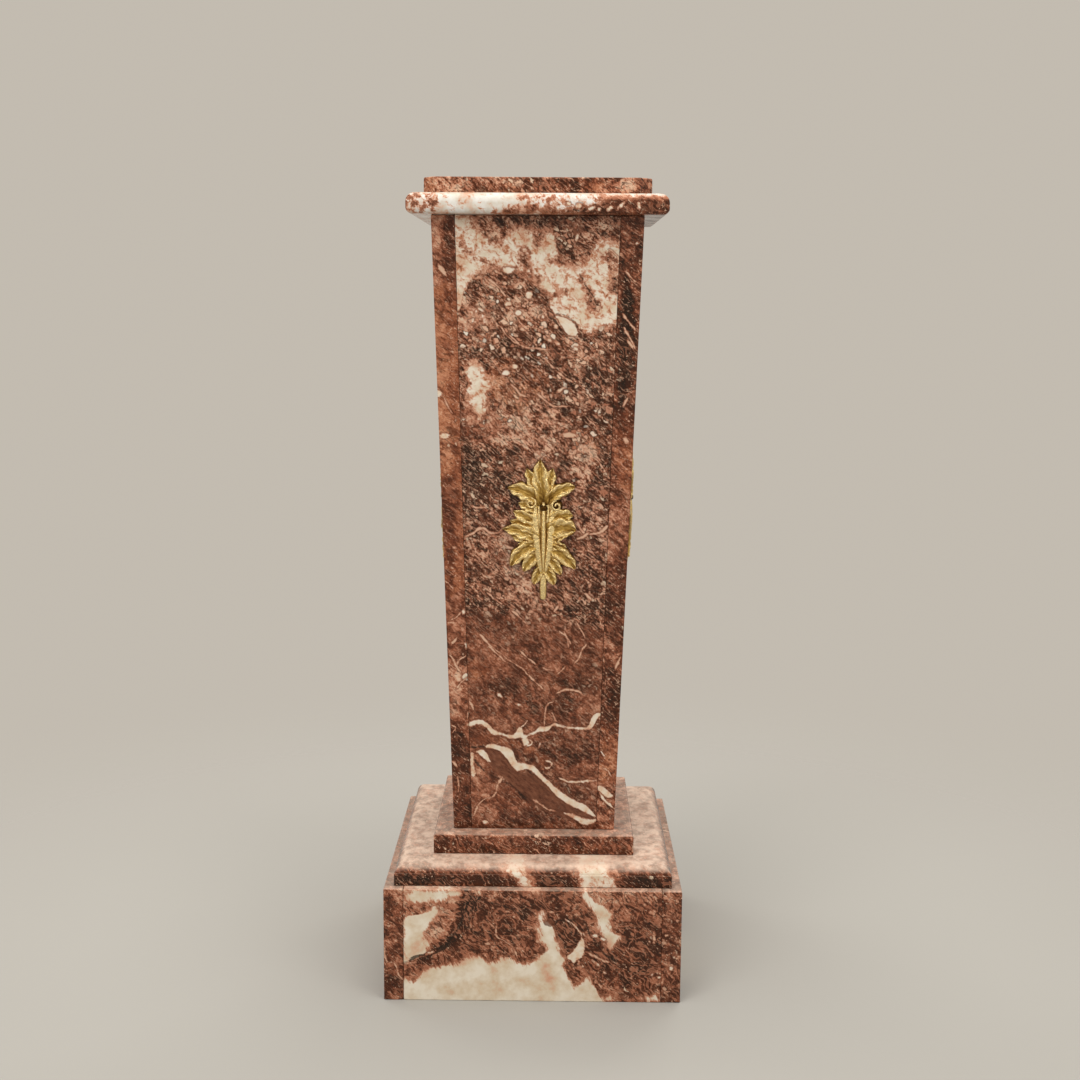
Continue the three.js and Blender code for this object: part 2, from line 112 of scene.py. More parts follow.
# %% A recipe of nodes
class Recipe:
    """One finish. Each method adds a node to it and returns that node's output."""

    def __init__(self, name):
        self.material = bpy.data.materials.new(name)
        self.material.use_nodes = True
        self.tree = self.material.node_tree
        self.shader = self.tree.nodes["Principled BSDF"]
        place = self.add("ShaderNodeTexCoord").outputs["Object"]
        self.mm = self.vector("SCALE", place, scale=1 / MM)

    def feed(self, socket, value):
        """Links an output to the socket, or writes a plain value on it."""
        if isinstance(value, bpy.types.NodeSocket):
            self.tree.links.new(value, socket)
        elif value is not None:
            socket.default_value = value

    def add(self, kind, settings=(), **inputs):
        """A node with these settings, and its inputs fed by name."""
        node = self.tree.nodes.new(kind)
        for key, value in dict(settings).items():
            setattr(node, key, value)
        for key, value in inputs.items():
            self.feed(node.inputs[key.replace("_", " ")], value)
        return node

    def calc(self, operation, *values):
        """Arithmetic on numbers."""
        node = self.add("ShaderNodeMath", {"operation": operation})
        for socket, value in zip(node.inputs, values):
            self.feed(socket, value)
        return node.outputs[0]

    def vector(self, operation, *values, scale=None, out=0):
        """Arithmetic on vectors."""
        node = self.add("ShaderNodeVectorMath", {"operation": operation})
        for socket, value in zip(node.inputs, values):
            self.feed(socket, value)
        self.feed(node.inputs[3], scale)
        return node.outputs[out]

    def fade(self, value, start, end, low=0.0, high=1.0):
        """Goes smoothly from low to high as value goes from start to end, and stays there."""
        node = self.add("ShaderNodeMapRange", {"interpolation_type": "SMOOTHSTEP"})
        for socket, part in zip(node.inputs, (value, start, end, low, high)):
            self.feed(socket, part)
        return node.outputs[0]

    def laid(self, size, seed=0, turn=(0, 0, 0), where=None):
        """Coordinates in which a grain of this size, turned this way, is one unit."""
        size = (size,) * 3 if np.isscalar(size) else size
        node = self.add("ShaderNodeMapping", {"vector_type": "TEXTURE"})
        self.feed(node.inputs["Vector"], where or self.mm)
        self.feed(node.inputs["Location"], (37.0 * seed, 53.0 * seed, 71.0 * seed))
        self.feed(node.inputs["Rotation"], tuple(math.radians(angle) for angle in turn))
        self.feed(node.inputs["Scale"], size)
        return node.outputs[0]

    def cloud(self, size, seed=0, detail=4, rough=0.55, turn=(0, 0, 0), where=None, out=0):
        """Cloudy noise whose blots have this size."""
        laid = self.laid(size, seed, turn, where)
        return self.add("ShaderNodeTexNoise", Vector=laid, Scale=1.0, Detail=detail, Roughness=rough).outputs[out]

    def shards(self, size, feature, seed=0, turn=(0, 0, 0), where=None):
        """Broken cells of this size: their distance to an edge, or a random colour for each."""
        laid = self.laid(size, seed, turn, where)
        node = self.add("ShaderNodeTexVoronoi", {"feature": feature}, Vector=laid, Scale=1.0)
        return node.outputs["Color" if feature == "F1" else "Distance"]

    def dots(self, size, seed=0, turn=(0, 0, 0), where=None):
        """Scattered points of this spacing: the distance to the nearest, and a random colour for it."""
        laid = self.laid(size, seed, turn, where)
        node = self.add("ShaderNodeTexVoronoi", {"feature": "F1"}, Vector=laid, Scale=1.0)
        return node.outputs["Distance"], node.outputs["Color"]

    def ramp(self, value, stops):
        """Colours at these values, blended between them."""
        node = self.add("ShaderNodeValToRGB")
        marks = node.color_ramp.elements
        while len(marks) < len(stops):
            marks.new(0.5)
        for mark, (position, colour) in zip(marks, stops):
            mark.position = position
            mark.color = (*colour, 1.0)
        self.feed(node.inputs[0], value)
        return node.outputs[0]

    def mix(self, share, first, second):
        """The second colour laid over the first by this share."""
        node = self.add("ShaderNodeMix", {"data_type": "RGBA"})
        for socket, value in zip((node.inputs[0], node.inputs[6], node.inputs[7]), (share, first, second)):
            self.feed(socket, (*value, 1.0) if isinstance(value, tuple) else value)
        return node.outputs[2]

    def bump(self, height, distance, strength=1.0):
        """Relief on the surface, its height given in metres."""
        node = self.add("ShaderNodeBump", Strength=strength, Distance=distance, Height=height)
        self.feed(self.shader.inputs["Normal"], node.outputs[0])


print("recipe steps:", ", ".join(name for name in vars(Recipe) if not name.startswith("_")))


# %% [markdown]
# ## Drawn features
# Most of the marble is a random breccia, but some patches and veins give this stand its face: a
# cream cloud at the head of the shaft, a white vein near its foot, a cream crescent along the base.
# Each is drawn as a ribbon, a pair of curves with the colour between them, read off the stone in
# millimetres. A ribbon costs a few nodes and stays sharp at any distance, where a painted mask
# would blur. Its edge wanders with a cloudy noise, so that it doesn't look cut with scissors.

# %% Ribbons, veins and spots
def lying(*rows):
    """A ribbon that runs across the face. Each row is (across, lower edge, upper edge)."""
    return "lying", np.array(rows, dtype=float)


def standing(*rows):
    """A ribbon that runs up the face. Each row is (up, left edge, right edge)."""
    return "standing", np.array(rows, dtype=float)


def vein(width, *points):
    """A narrow ribbon of this width through points (across, up), pointed at both ends."""
    path = np.array(points, dtype=float)
    run = 0 if np.ptp(path[:, 0]) >= np.ptp(path[:, 1]) else 1
    path = path[np.argsort(path[:, run])]
    half = np.full(len(path), width / 2)
    half[[0, -1]] = 0.0
    rows = np.column_stack([path[:, run], path[:, 1 - run] - half, path[:, 1 - run] + half])
    return ("standing" if run else "lying"), rows


def spot(across, up, width, height, tilt=0):
    """An oval spot with its middle at (across, up)."""
    return "spot", (across, up, width / 2, height / 2, math.radians(tilt))


def spots(*rows):
    """Several spots. Each row is (across, up, width, height) and may end with a tilt."""
    return [spot(*row) for row in rows]


def veins(*rows):
    """Several veins. Each row is a width and then the points."""
    return [vein(*row) for row in rows]


def closed_ends(rows):
    """Rounds both ends of a ribbon, and lets it shrink to less than nothing beyond them. Reach is
    how far past the end each added row lies, and width its half-width, from the ribbon's own half."""
    for at, beyond in ((0, -1), (-1, 1)):
        end, (low, high) = rows[at, 0], rows[at, 1:]
        middle, half = (low + high) / 2, (high - low) / 2
        reach = np.array([0.5 * half, 0.9 * half, 1.1 * half + 0.4, 1.1 * half + 14])
        width = np.array([0.8 * half, 0.35 * half, -0.7, -14 - 0.3 * half])
        tail = np.column_stack([end + beyond * reach, middle - width, middle + width])
        tail = tail[2:] if half < 0.3 else tail
        rows = np.vstack([tail[::-1], rows]) if at == 0 else np.vstack([rows, tail])
    return rows


print("a vein as rows of (run, low, high):", vein(2.0, (0, 0), (10, 4), (20, 6))[1].tolist())


# %% [markdown]
# Curve nodes turn the rows of a ribbon into edges. A class keeps what all features of a face share:
# the wandering coordinates, and a skin, which stops a drawing a little behind its face, so that it
# doesn't run on through the stone and come out at the side.

# %% A drawing on one face
SKIN_DEPTH, SKIN_FALL = 2.5, 2.0
EDGE_WANDER = 2.4


class Drawing:
    """Draws features on one face of a stone, with edges that wander. A skin is the way the face
    looks along y, its distance from the axis at floor level, and how much it leans out with height."""

    def __init__(self, recipe, across, seed, wander, skin):
        self.recipe = recipe
        self.sunk = None
        if skin is not None:
            at = recipe.add("ShaderNodeSeparateXYZ")
            recipe.feed(at.inputs[0], recipe.mm)
            way, foot, slope = skin
            below = recipe.calc("MULTIPLY_ADD", at.outputs["Z"], SKIN_FALL * slope, SKIN_FALL * (foot - SKIN_DEPTH))
            below = recipe.calc("MULTIPLY_ADD", at.outputs["Y"], -SKIN_FALL * way, below)
            self.sunk = recipe.calc("MAXIMUM", below, 0.0)
        coarse = recipe.cloud(16, seed + 3, detail=5, rough=0.62, out=1)
        coarse = recipe.vector("SUBTRACT", coarse, (0.5, 0.5, 0.5))
        shift = recipe.vector("SCALE", coarse, scale=EDGE_WANDER * wander)
        split = recipe.add("ShaderNodeSeparateXYZ")
        recipe.feed(split.inputs[0], recipe.vector("ADD", recipe.mm, shift))
        self.across, self.up = split.outputs[across], split.outputs["Z"]
        self.flat = recipe.add("ShaderNodeCombineXYZ", X=self.across, Y=self.up).outputs[0]

    def edge(self, share, values):
        """A smooth curve through values at equal or unequal steps, as one number along the ribbon."""
        steps, heights = values
        low, high = heights.min(), heights.max()
        span = max(high - low, 1e-3)
        node = self.recipe.add("ShaderNodeFloatCurve")
        node.mapping.extend = "HORIZONTAL"
        marks = node.mapping.curves[0].points
        heights = (heights - low) / span
        marks[0].location = (0.0, heights[0])
        marks[-1].location = (1.0, heights[-1])
        for step, height in zip(steps[1:-1], heights[1:-1]):
            marks.new(step, height)
        for mark in marks:
            mark.handle_type = "AUTO_CLAMPED"
        node.mapping.update()
        self.recipe.feed(node.inputs[1], share)
        return self.recipe.calc("MULTIPLY_ADD", node.outputs[0], float(span), float(low))

    def ribbon(self, kind, rows):
        """Depth inside the ribbon in millimetres: the smaller distance to its two edges."""
        run, side = (self.across, self.up) if kind == "lying" else (self.up, self.across)
        rows = closed_ends(rows)
        start, end = rows[0, 0], rows[-1, 0]
        steps = (rows[:, 0] - start) / (end - start)
        share = self.recipe.calc("MULTIPLY_ADD", run, float(1 / (end - start)), float(-start / (end - start)))
        low = self.edge(share, (steps, rows[:, 1]))
        high = self.edge(share, (steps, rows[:, 2]))
        calc = self.recipe.calc
        return calc("MINIMUM", calc("SUBTRACT", side, low), calc("SUBTRACT", high, side))

    def oval(self, across, up, half_width, half_height, tilt):
        """Depth inside an oval: one less the distance in its own units, times its smaller radius."""
        node = self.recipe.add("ShaderNodeMapping", {"vector_type": "TEXTURE"})
        self.recipe.feed(node.inputs["Vector"], self.flat)
        self.recipe.feed(node.inputs["Location"], (across, up, 0))
        self.recipe.feed(node.inputs["Rotation"], (0, 0, tilt))
        self.recipe.feed(node.inputs["Scale"], (half_width, half_height, 1))
        reach = self.recipe.vector("LENGTH", node.outputs[0], out=1)
        radius = min(half_width, half_height)
        return self.recipe.calc("MULTIPLY_ADD", reach, -radius, radius)

    def depth(self, shapes):
        """Depth inside whichever of these shapes is deepest."""
        deepest = None
        for kind, rows in shapes:
            inside = self.oval(*rows) if kind == "spot" else self.ribbon(kind, rows)
            deepest = inside if deepest is None else self.recipe.calc("MAXIMUM", deepest, inside)
        return deepest if self.sunk is None else self.recipe.calc("SUBTRACT", deepest, self.sunk)


print("drawings stop", SKIN_DEPTH, "mm behind their face")


# %% [markdown]
# ## The marble
# The stone is a breccia: broken pieces of limestone, stained red and brown by iron, healed with
# white calcite. So its recipe goes the way the stone did: a clouded brown ground, hairline streaks
# that all lean one way, broken shards of salmon and cream, and only then the patches and veins.
# A polished stone mirrors a little, so the roughness is low, with duller clouds where it is worn.

# %% Colours and ground of the marble
SOOT = (0.016, 0.008, 0.004)
UMBER = (0.052, 0.014, 0.005)
CHESTNUT = (0.120, 0.034, 0.015)
BRICK = (0.225, 0.068, 0.031)
CLAY = (0.395, 0.150, 0.080)
SALMON = (0.580, 0.295, 0.180)
PINK = (0.665, 0.440, 0.295)
CREAM = (0.620, 0.490, 0.340)
MILK = (0.730, 0.640, 0.510)
FLECK = (0.640, 0.400, 0.260)
WEB = (0.420, 0.150, 0.062)
DUST_AND_SHEEN = (0.760, 0.560, 0.420)

# Stops of the ramps, as (value, colour)
BODY = [(0.14, SOOT), (0.32, UMBER), (0.46, CHESTNUT), (0.57, BRICK), (0.68, CLAY), (0.80, SALMON), (0.96, PINK)]
IRON = [(0.20, (0.060, 0.016, 0.006)), (0.42, (0.165, 0.044, 0.018)),
        (0.58, (0.300, 0.092, 0.038)), (0.82, (0.520, 0.215, 0.105))]
SHARDS = [(0.15, CLAY), (0.45, SALMON), (0.75, PINK), (1.0, CREAM)]
SPECKS = [(0.25, CLAY), (0.50, SALMON), (0.75, PINK), (0.95, MILK)]
SEAM = [(0.36, (0.070, 0.021, 0.009)), (0.50, (0.135, 0.045, 0.022)), (0.66, (0.210, 0.080, 0.040))]
VEIN = [(0.34, SALMON), (0.43, (0.680, 0.500, 0.340)), (0.54, (0.710, 0.600, 0.460)), (0.66, (0.750, 0.660, 0.530))]

# Turn of the grain in degrees, for a stone whose grain runs across x or y
LEAN = {"X": (0, 40, 0), "Y": (-40, 0, 0)}


def grain(long, short, across):
    """Size of a grain that is long across the face and short up it."""
    return (long, short * 2, short) if across == "X" else (short * 2, long, short)


def folded(recipe, seed, reach=14.0, size=14):
    """Coordinates bent by a slow noise, in which straight patterns come out folded."""
    push = recipe.vector("SUBTRACT", recipe.cloud(size, seed + 4, detail=3, out=1), (0.5, 0.5, 0.5))
    return recipe.vector("ADD", recipe.mm, recipe.vector("SCALE", push, scale=reach))


print("colours ready, the grain leans", LEAN)


# %% [markdown]
# The ground starts from three noises of different size, added up and read off as colours. Over
# it come pale and dark hairlines and flecks, which follow one slow sweep through the whole stone.
# A single noise with more detail would be cheaper, but its blots and grains would always fall
# together, and the stone would look like a cloth print.

# %% Hairlines and flecks
HAIR_SIZE, FLECK_SIZE = (15, 1.5), (3.4, 2.1)


def hairlines(recipe, colour, across, seed, swept, streaks, calm):
    """A noise that is ten times as long as it is high: pale where it is high, dark where low."""
    hair = recipe.cloud(grain(*HAIR_SIZE, across), seed + 12, detail=3, rough=0.6, turn=LEAN[across], where=swept)
    light = recipe.fade(hair, 0.60 - 0.04 * streaks, 0.72 - 0.04 * streaks, 0.0, 0.75)
    dark = recipe.fade(hair, 0.42 + 0.03 * streaks, 0.31 + 0.03 * streaks, 0.0, 0.7)
    colour = recipe.mix(recipe.calc("MULTIPLY", light, calm), colour, SALMON)
    return recipe.mix(recipe.calc("MULTIPLY", dark, calm), colour, UMBER)


def flecked(recipe, colour, across, seed, swept, blots, specks, calm):
    """A fine noise, cut high for pale flecks, which keep to the paler blots, and low for dark ones."""
    calc = recipe.calc
    flecks = recipe.cloud(grain(*FLECK_SIZE, across), seed + 18, detail=4, rough=0.6, turn=LEAN[across], where=swept)
    bright = recipe.fade(flecks, 0.625 - 0.045 * specks, 0.665 - 0.045 * specks, 0.0, 0.95)
    bright = calc("MULTIPLY", bright, recipe.fade(blots, 0.41, 0.56, 0.1, 1.0))
    colour = recipe.mix(calc("MULTIPLY", bright, calm), colour, FLECK)
    dark = recipe.fade(flecks, 0.39 + 0.025 * specks, 0.34 + 0.025 * specks, 0.0, 0.9)
    return recipe.mix(calc("MULTIPLY", dark, calm), colour, UMBER)


print("hairlines are", HAIR_SIZE, "mm long and high, flecks", FLECK_SIZE)


# %% [markdown]
# Folds and shards are what make it a breccia. The folds are the level lines of a slow noise, drawn
# by a sine, and the shards are cells of a Voronoi pattern, of which only some regions and some
# cells are kept. Both are torn by the noises of the ground, so no edge is a clean curve.

# %% Folds and shards
FOLD_SIZE, SHARD_SIZE = (40, 14), (6.5, 3.8)


def folded_lines(recipe, colour, across, seed, grains, swirls, calm):
    """The sine of a slow noise: dark where it is low, clay where it is high, in slow patches."""
    calc = recipe.calc
    drift = folded(recipe, seed + 26, 56.0, 52)
    folds = recipe.cloud(grain(*FOLD_SIZE, across), seed + 13, detail=3, rough=0.5, turn=LEAN[across], where=drift)
    wave = calc("SINE", calc("MULTIPLY_ADD", grains, 3.0, calc("MULTIPLY", folds, 36.0 + 6.0 * swirls)))
    patchy = recipe.cloud(34, seed + 14, detail=3)
    patchy = calc("MULTIPLY", recipe.fade(patchy, 0.60 - 0.25 * swirls, 0.78 - 0.25 * swirls), calm)
    dark = recipe.fade(wave, -0.25, -1.0, 0.0, 0.75)
    colour = recipe.mix(calc("MULTIPLY", dark, patchy), colour, UMBER)
    light = recipe.fade(wave, 0.35, 1.0, 0.0, 0.35 + 0.20 * swirls)
    return recipe.mix(calc("MULTIPLY", light, patchy), colour, CLAY)


def with_shards(recipe, colour, across, seed, bent, blots, grains, broken, calm):
    """Chosen cells of a broken pattern in a colour of their own, with dark seams between cells."""
    calc, size = recipe.calc, grain(*SHARD_SIZE, across)
    gap = recipe.shards(size, "DISTANCE_TO_EDGE", seed, LEAN[across], bent)
    parts = recipe.add("ShaderNodeSeparateColor")
    recipe.feed(parts.inputs[0], recipe.shards(size, "F1", seed, LEAN[across], bent))
    region = recipe.fade(recipe.cloud(38, seed + 5, detail=4), 0.62 - 0.25 * broken, 0.68 - 0.25 * broken)
    region = calc("MULTIPLY", region, calm)
    chosen = calc("MULTIPLY", recipe.fade(parts.outputs[0], 0.78 - 0.3 * broken, 0.84 - 0.2 * broken), region)
    seam = calc("MULTIPLY", recipe.fade(gap, 0.22, 0.04), calc("MULTIPLY", region, 0.55))
    colour = recipe.mix(seam, colour, UMBER)
    torn = calc("MULTIPLY_ADD", blots, 0.9, calc("MULTIPLY_ADD", grains, 0.9, calc("ADD", gap, -0.90)))
    shard = calc("MULTIPLY", recipe.fade(torn, 0.08, 0.17), chosen)
    return recipe.mix(calc("MULTIPLY", shard, 0.85), colour, recipe.ramp(parts.outputs[1], SHARDS))


print("folds are", FOLD_SIZE, "mm long and high, shards", SHARD_SIZE)


# %% Ground of the marble
def breccia_ground(recipe, across, seed, tone=0.0, streaks=1.0, broken=0.5, swirls=0.3, contrast=3.0,
                   iron=None, calm=1.0):
    """Clouds, blots and fine grains of brown added together, then hairlines, folds and shards. Calm
    is the share of the contrast that is left, and may itself be a pattern."""
    lean, calc = LEAN[across], recipe.calc
    bent = folded(recipe, seed)
    swept = folded(recipe, seed + 20, 9.0, 22)
    blots = recipe.cloud(grain(15, 8, across), seed + 1, detail=6, rough=0.66, turn=lean, where=bent)
    grains = recipe.cloud(grain(4.6, 2.3, across), seed + 2, detail=5, rough=0.7, turn=lean, where=swept)
    body = calc("MULTIPLY_ADD", recipe.cloud(70, seed, detail=3), 0.24 * contrast, -0.5 * contrast)
    body = calc("MULTIPLY_ADD", blots, 0.46 * contrast, body)
    body = calc("MULTIPLY_ADD", grains, 0.30 * contrast, body)
    body = calc("MULTIPLY_ADD", body, calm, calc("ADD", tone, 0.5))
    colour = recipe.ramp(body, BODY)
    if iron is not None:
        colour = recipe.mix(iron, colour, recipe.ramp(body, IRON))
    colour = hairlines(recipe, colour, across, seed, swept, streaks, calm)
    colour = flecked(recipe, colour, across, seed, swept, blots, 0.5 * streaks + broken, calm)
    colour = folded_lines(recipe, colour, across, seed, grains, swirls, calm)
    if broken > 0:
        colour = with_shards(recipe, colour, across, seed, bent, blots, grains, broken, calm)
    return colour, grains, bent


print("ground ready, with", len(BODY), "browns and", len(SHARDS), "shard colours")


# %% [markdown]
# ## Laying the drawn features over the ground
# The order matters, as it did in the rock: stains first, then the cream with a rusty halo where
# iron crept into it, then thin dark and white veins across everything.

# %% Cream stone and specks
STAINS = {"shade": -0.30, "umber": -0.17, "chestnut": -0.08, "salmon": 0.14, "pink": 0.22}
# Colour or ramp, share and roughness of the edge of each kind of thread
THREADS = {"soot": (SOOT, 0.85, 13.0), "over": (SEAM, 0.85, 10.0),
           "white": (VEIN, 0.95, 6.0), "blush": (PINK, 0.80, 6.0)}


def pale_stone(recipe, across, seed, bent, stained, pale):
    """Cream calcite, stained salmon round a web of cracks and brown where the cracks are thick."""
    calc, lean = recipe.calc, LEAN[across]
    cream, milk = pale
    stops = [(0.30, SALMON), (0.42, cream), (0.56, milk), (0.72, cream)]
    colour = recipe.ramp(recipe.cloud(26, seed + 7, detail=5), stops)
    thread = recipe.cloud(grain(11, 7, across), seed + 8, detail=8, rough=0.76, turn=lean, where=bent)
    web = recipe.shards(grain(15, 10, across), "DISTANCE_TO_EDGE", seed + 1, lean, bent)
    crack = calc("MULTIPLY_ADD", recipe.fade(web, 0.16, 0.0), 0.055, calc("ADD", thread, 0.10 * stained - 0.05))
    for start, end, share, stain in ((0.50, 0.60, 0.8, SALMON), (0.56, 0.64, 0.9, WEB), (0.64, 0.72, 0.85, UMBER)):
        colour = recipe.mix(calc("MULTIPLY", recipe.fade(crack, start, end), share), colour, stain)
    return colour


def clear_stone(recipe, seed, pale):
    """Cream calcite without cracks, in slow clouds of salmon, cream and milk."""
    stops = [(0.30, SALMON), (0.44, pale[0]), (0.60, pale[1])]
    return recipe.ramp(recipe.cloud(30, seed + 9, detail=6, rough=0.6), stops)


def specked(recipe, colour, across, seed, fine, grains, bent, depth):
    """Small torn dots, each in a colour of its own with a dark rim, where the depth is positive."""
    calc = recipe.calc
    near, chance = recipe.dots(grain(9.5, 7.0, across), seed + 16, LEAN[across], bent)
    parts = recipe.add("ShaderNodeSeparateColor")
    recipe.feed(parts.inputs[0], chance)
    chosen = calc("MULTIPLY", recipe.fade(parts.outputs[0], 0.42, 0.50), recipe.fade(depth, -4.0, 4.0))
    near = calc("MULTIPLY_ADD", fine, 0.9, calc("MULTIPLY_ADD", grains, 0.30, calc("ADD", near, -0.45)))
    rim = calc("MULTIPLY", recipe.fade(near, 0.66, 0.50), calc("MULTIPLY", chosen, 0.8))
    colour = recipe.mix(rim, colour, UMBER)
    dot = calc("MULTIPLY", recipe.fade(near, 0.50, 0.40), chosen)
    return recipe.mix(dot, colour, recipe.ramp(parts.outputs[1], SPECKS))


def feathered(recipe, colour, pale, depth):
    """Lays the pale stone in, through a rust and a salmon fringe."""
    colour = recipe.mix(recipe.fade(depth, -6.0, -1.0, 0.0, 0.6), colour, CLAY)
    colour = recipe.mix(recipe.fade(depth, -1.5, 0.8, 0.0, 0.9), colour, SALMON)
    return recipe.mix(recipe.fade(depth, -0.2, 3.0), colour, pale)


def threads_over(recipe, colour, across, seed, grains, drawing, drawn):
    """Thin veins over everything: pale ones with an umber and a clay fringe, dark ones without."""
    for key, (stain, share, rough) in THREADS.items():
        if key not in drawn:
            continue
        depth = recipe.calc("MULTIPLY_ADD", grains, rough, recipe.calc("ADD", drawing.depth(drawn[key]), -rough / 2))
        if key in ("white", "blush"):
            colour = recipe.mix(recipe.fade(depth, -2.2, -1.0, 0.0, 0.5), colour, UMBER)
            colour = recipe.mix(recipe.fade(depth, -1.0, 0.0, 0.0, 0.85), colour, CLAY)
        if key == "over":
            streaky = recipe.cloud(grain(9, 2.6, across), seed + 20, detail=6, rough=0.72, turn=LEAN[across])
            stain = recipe.ramp(streaky, stain)
        if key == "white":
            stain = recipe.ramp(recipe.cloud(11, seed + 19, detail=5, rough=0.65), stain)
        colour = recipe.mix(recipe.fade(depth, -0.2, 1.1, 0.0, share), colour, stain)
    return colour


print("threads are laid in this order:", ", ".join(THREADS))


# %% [markdown]
# The polish is the last step: a Principled shader with a low roughness. What looks real is where
# it fails, in duller clouds, and in a pale haze on faces that look up, part dust and part a painted
# sheen that stands in for the light they reflect from above.

# %% Dust, painted sheen and polish
POLISH_IOR, POLISH_GLEAM = 1.5, 0.24
POLISH_RELIEF = 0.00006


def upper_dust_and_painted_sheen(recipe, colour, bloom):
    """Faces that look up are painted paler and hazier in slow patches: part dust and lost polish, part a painted
    sheen for the light they catch from above.
    """
    split = recipe.add("ShaderNodeSeparateXYZ")
    recipe.feed(split.inputs[0], recipe.add("ShaderNodeNewGeometry").outputs["Normal"])
    upward = recipe.fade(split.outputs["Z"], 0.50, 0.98)
    patches = recipe.cloud(grain(12, 8, "X"), 97, detail=7, rough=0.68)
    patches = recipe.fade(patches, 0.36, 0.64, 0.6 * bloom, 1.35 * bloom)
    return recipe.mix(recipe.calc("MULTIPLY", upward, patches), colour, DUST_AND_SHEEN), upward


def finish_polish(recipe, colour, seed, upward):
    """Polish: a low roughness with duller clouds, and relief too fine to see but in a reflection."""
    recipe.feed(recipe.shader.inputs["Base Color"], colour)
    worn = recipe.cloud(30, seed + 10, detail=5)
    dull = recipe.calc("MULTIPLY_ADD", upward, 0.18, recipe.fade(worn, 0.35, 0.75, 0.13, 0.30))
    recipe.feed(recipe.shader.inputs["Roughness"], dull)
    recipe.bump(recipe.cloud(6, seed + 11, detail=3), POLISH_RELIEF)
    recipe.shader.inputs["IOR"].default_value = POLISH_IOR
    recipe.shader.inputs["Specular IOR Level"].default_value = POLISH_GLEAM


print("the polish has", POLISH_RELIEF / MM, "mm of relief")


# %% One finish for one stone
# bloom sets how strongly faces that look up are painted paler: part dust, part painted sheen.
def marble(name, across="X", seed=0, tone=0.0, streaks=1.0, broken=0.5, swirls=0.3, contrast=3.0, wander=5.0,
           stained=0.5, pale=(CREAM, MILK), iron=None, calm=1.0, frayed=26.0, bloom=0.3, skin=None,
           drawn_across=None, **drawn):
    """The finish of one stone. Drawn features are given as lists of shapes, by their colour. They
    may lie across another face than the grain does."""
    recipe = Recipe(name)
    calc = recipe.calc
    drawing = Drawing(recipe, drawn_across or across, seed, wander, skin)
    fine = recipe.cloud(6.5, seed + 6, detail=6, rough=0.7)
    torn = calc("MULTIPLY_ADD", fine, frayed, -0.5 * frayed)

    def inside(key):
        """Depth inside the shapes of this colour, with a torn edge."""
        return calc("ADD", drawing.depth(drawn[key]), torn)

    for key, shift in STAINS.items():
        if key in drawn:
            tone = calc("MULTIPLY_ADD", recipe.fade(inside(key), -4.0, 5.0), shift, tone)
    if "quiet" in drawn:
        calm = recipe.fade(inside("quiet"), -8.0, 8.0, 1.0, 0.40)
    if "rust" in drawn:
        iron = calc("MULTIPLY", recipe.fade(inside("rust"), -3.0, 3.0), 0.85)
    colour, grains, bent = breccia_ground(recipe, across, seed, tone, streaks, broken, swirls, contrast, iron, calm)
    if "specked" in drawn:
        colour = specked(recipe, colour, across, seed, fine, grains, bent, inside("specked"))
    if "cream" in drawn:
        depth = inside("cream")
        if "holes" in drawn:
            hole = calc("MULTIPLY_ADD", fine, -34.0, calc("SUBTRACT", 17.0, drawing.depth(drawn["holes"])))
            depth = calc("MINIMUM", depth, hole)
        depth = calc("MULTIPLY_ADD", grains, 9.0, calc("ADD", depth, -4.5))
        colour = feathered(recipe, colour, pale_stone(recipe, across, seed, bent, stained, pale), depth)
    if "clear" in drawn:
        strokes = recipe.cloud((2.6, 2.6, 13), seed + 15, detail=3, rough=0.6, turn=(0, -24, 0))
        depth = calc("MULTIPLY_ADD", fine, 14.0, calc("ADD", drawing.depth(drawn["clear"]), -7.0))
        depth = calc("MULTIPLY_ADD", strokes, 15.0, calc("ADD", depth, -7.5))
        colour = feathered(recipe, colour, clear_stone(recipe, seed, pale), depth)
    colour = threads_over(recipe, colour, across, seed, grains, drawing, drawn)
    colour, upward = upper_dust_and_painted_sheen(recipe, colour, bloom)
    finish_polish(recipe, colour, seed, upward)
    print(name, "has", len(recipe.tree.nodes), "nodes and draws", ", ".join(drawn) or "nothing")
    return recipe.material


print("a stone's finish can hold", ", ".join([*STAINS, "quiet", "rust", "specked", "cream", "clear", *THREADS]))


# %% [markdown]
# A face with a hundred drawn features is more than one finish can hold, so such a stone is divided
# by height into bands. Each band has the same ground and only the features that reach into it.

# %% A finish in bands of height
def reach_up(kind, rows):
    """Lowest and highest point of a shape."""
    if kind == "spot":
        radius = max(rows[2], rows[3])
        return rows[1] - radius, rows[1] + radius
    heights = rows[:, 0] if kind == "standing" else rows[:, 1:]
    return heights.min(), heights.max()


def banded_marble(name, bands, margin=34.0, **settings):
    """One finish for each band of heights, with the shapes that come within the margin of it."""
    finishes = []
    for low, high in zip(bands[:-1], bands[1:]):
        chosen = {}
        for key, value in settings.items():
            if isinstance(value, list):
                value = [shape for shape in value
                         if reach_up(*shape)[1] > low - margin and reach_up(*shape)[0] < high + margin]
            if not isinstance(value, list) or value:
                chosen[key] = value
        finishes.append(marble(f"{name}_{round(low)}", **chosen))
    return finishes


def lay_in_bands(mesh, bands):
    """Each face takes the finish of the band that its middle is in."""
    height = np.empty(len(mesh.polygons) * 3)
    mesh.polygons.foreach_get("center", height)
    index = np.clip(np.searchsorted(bands, height[2::3] / MM) - 1, 0, len(bands) - 2)
    mesh.polygons.foreach_set("material_index", index.astype(np.int32))


print("a shape reaches up over", reach_up(*spot(0, 10, 4, 6)))


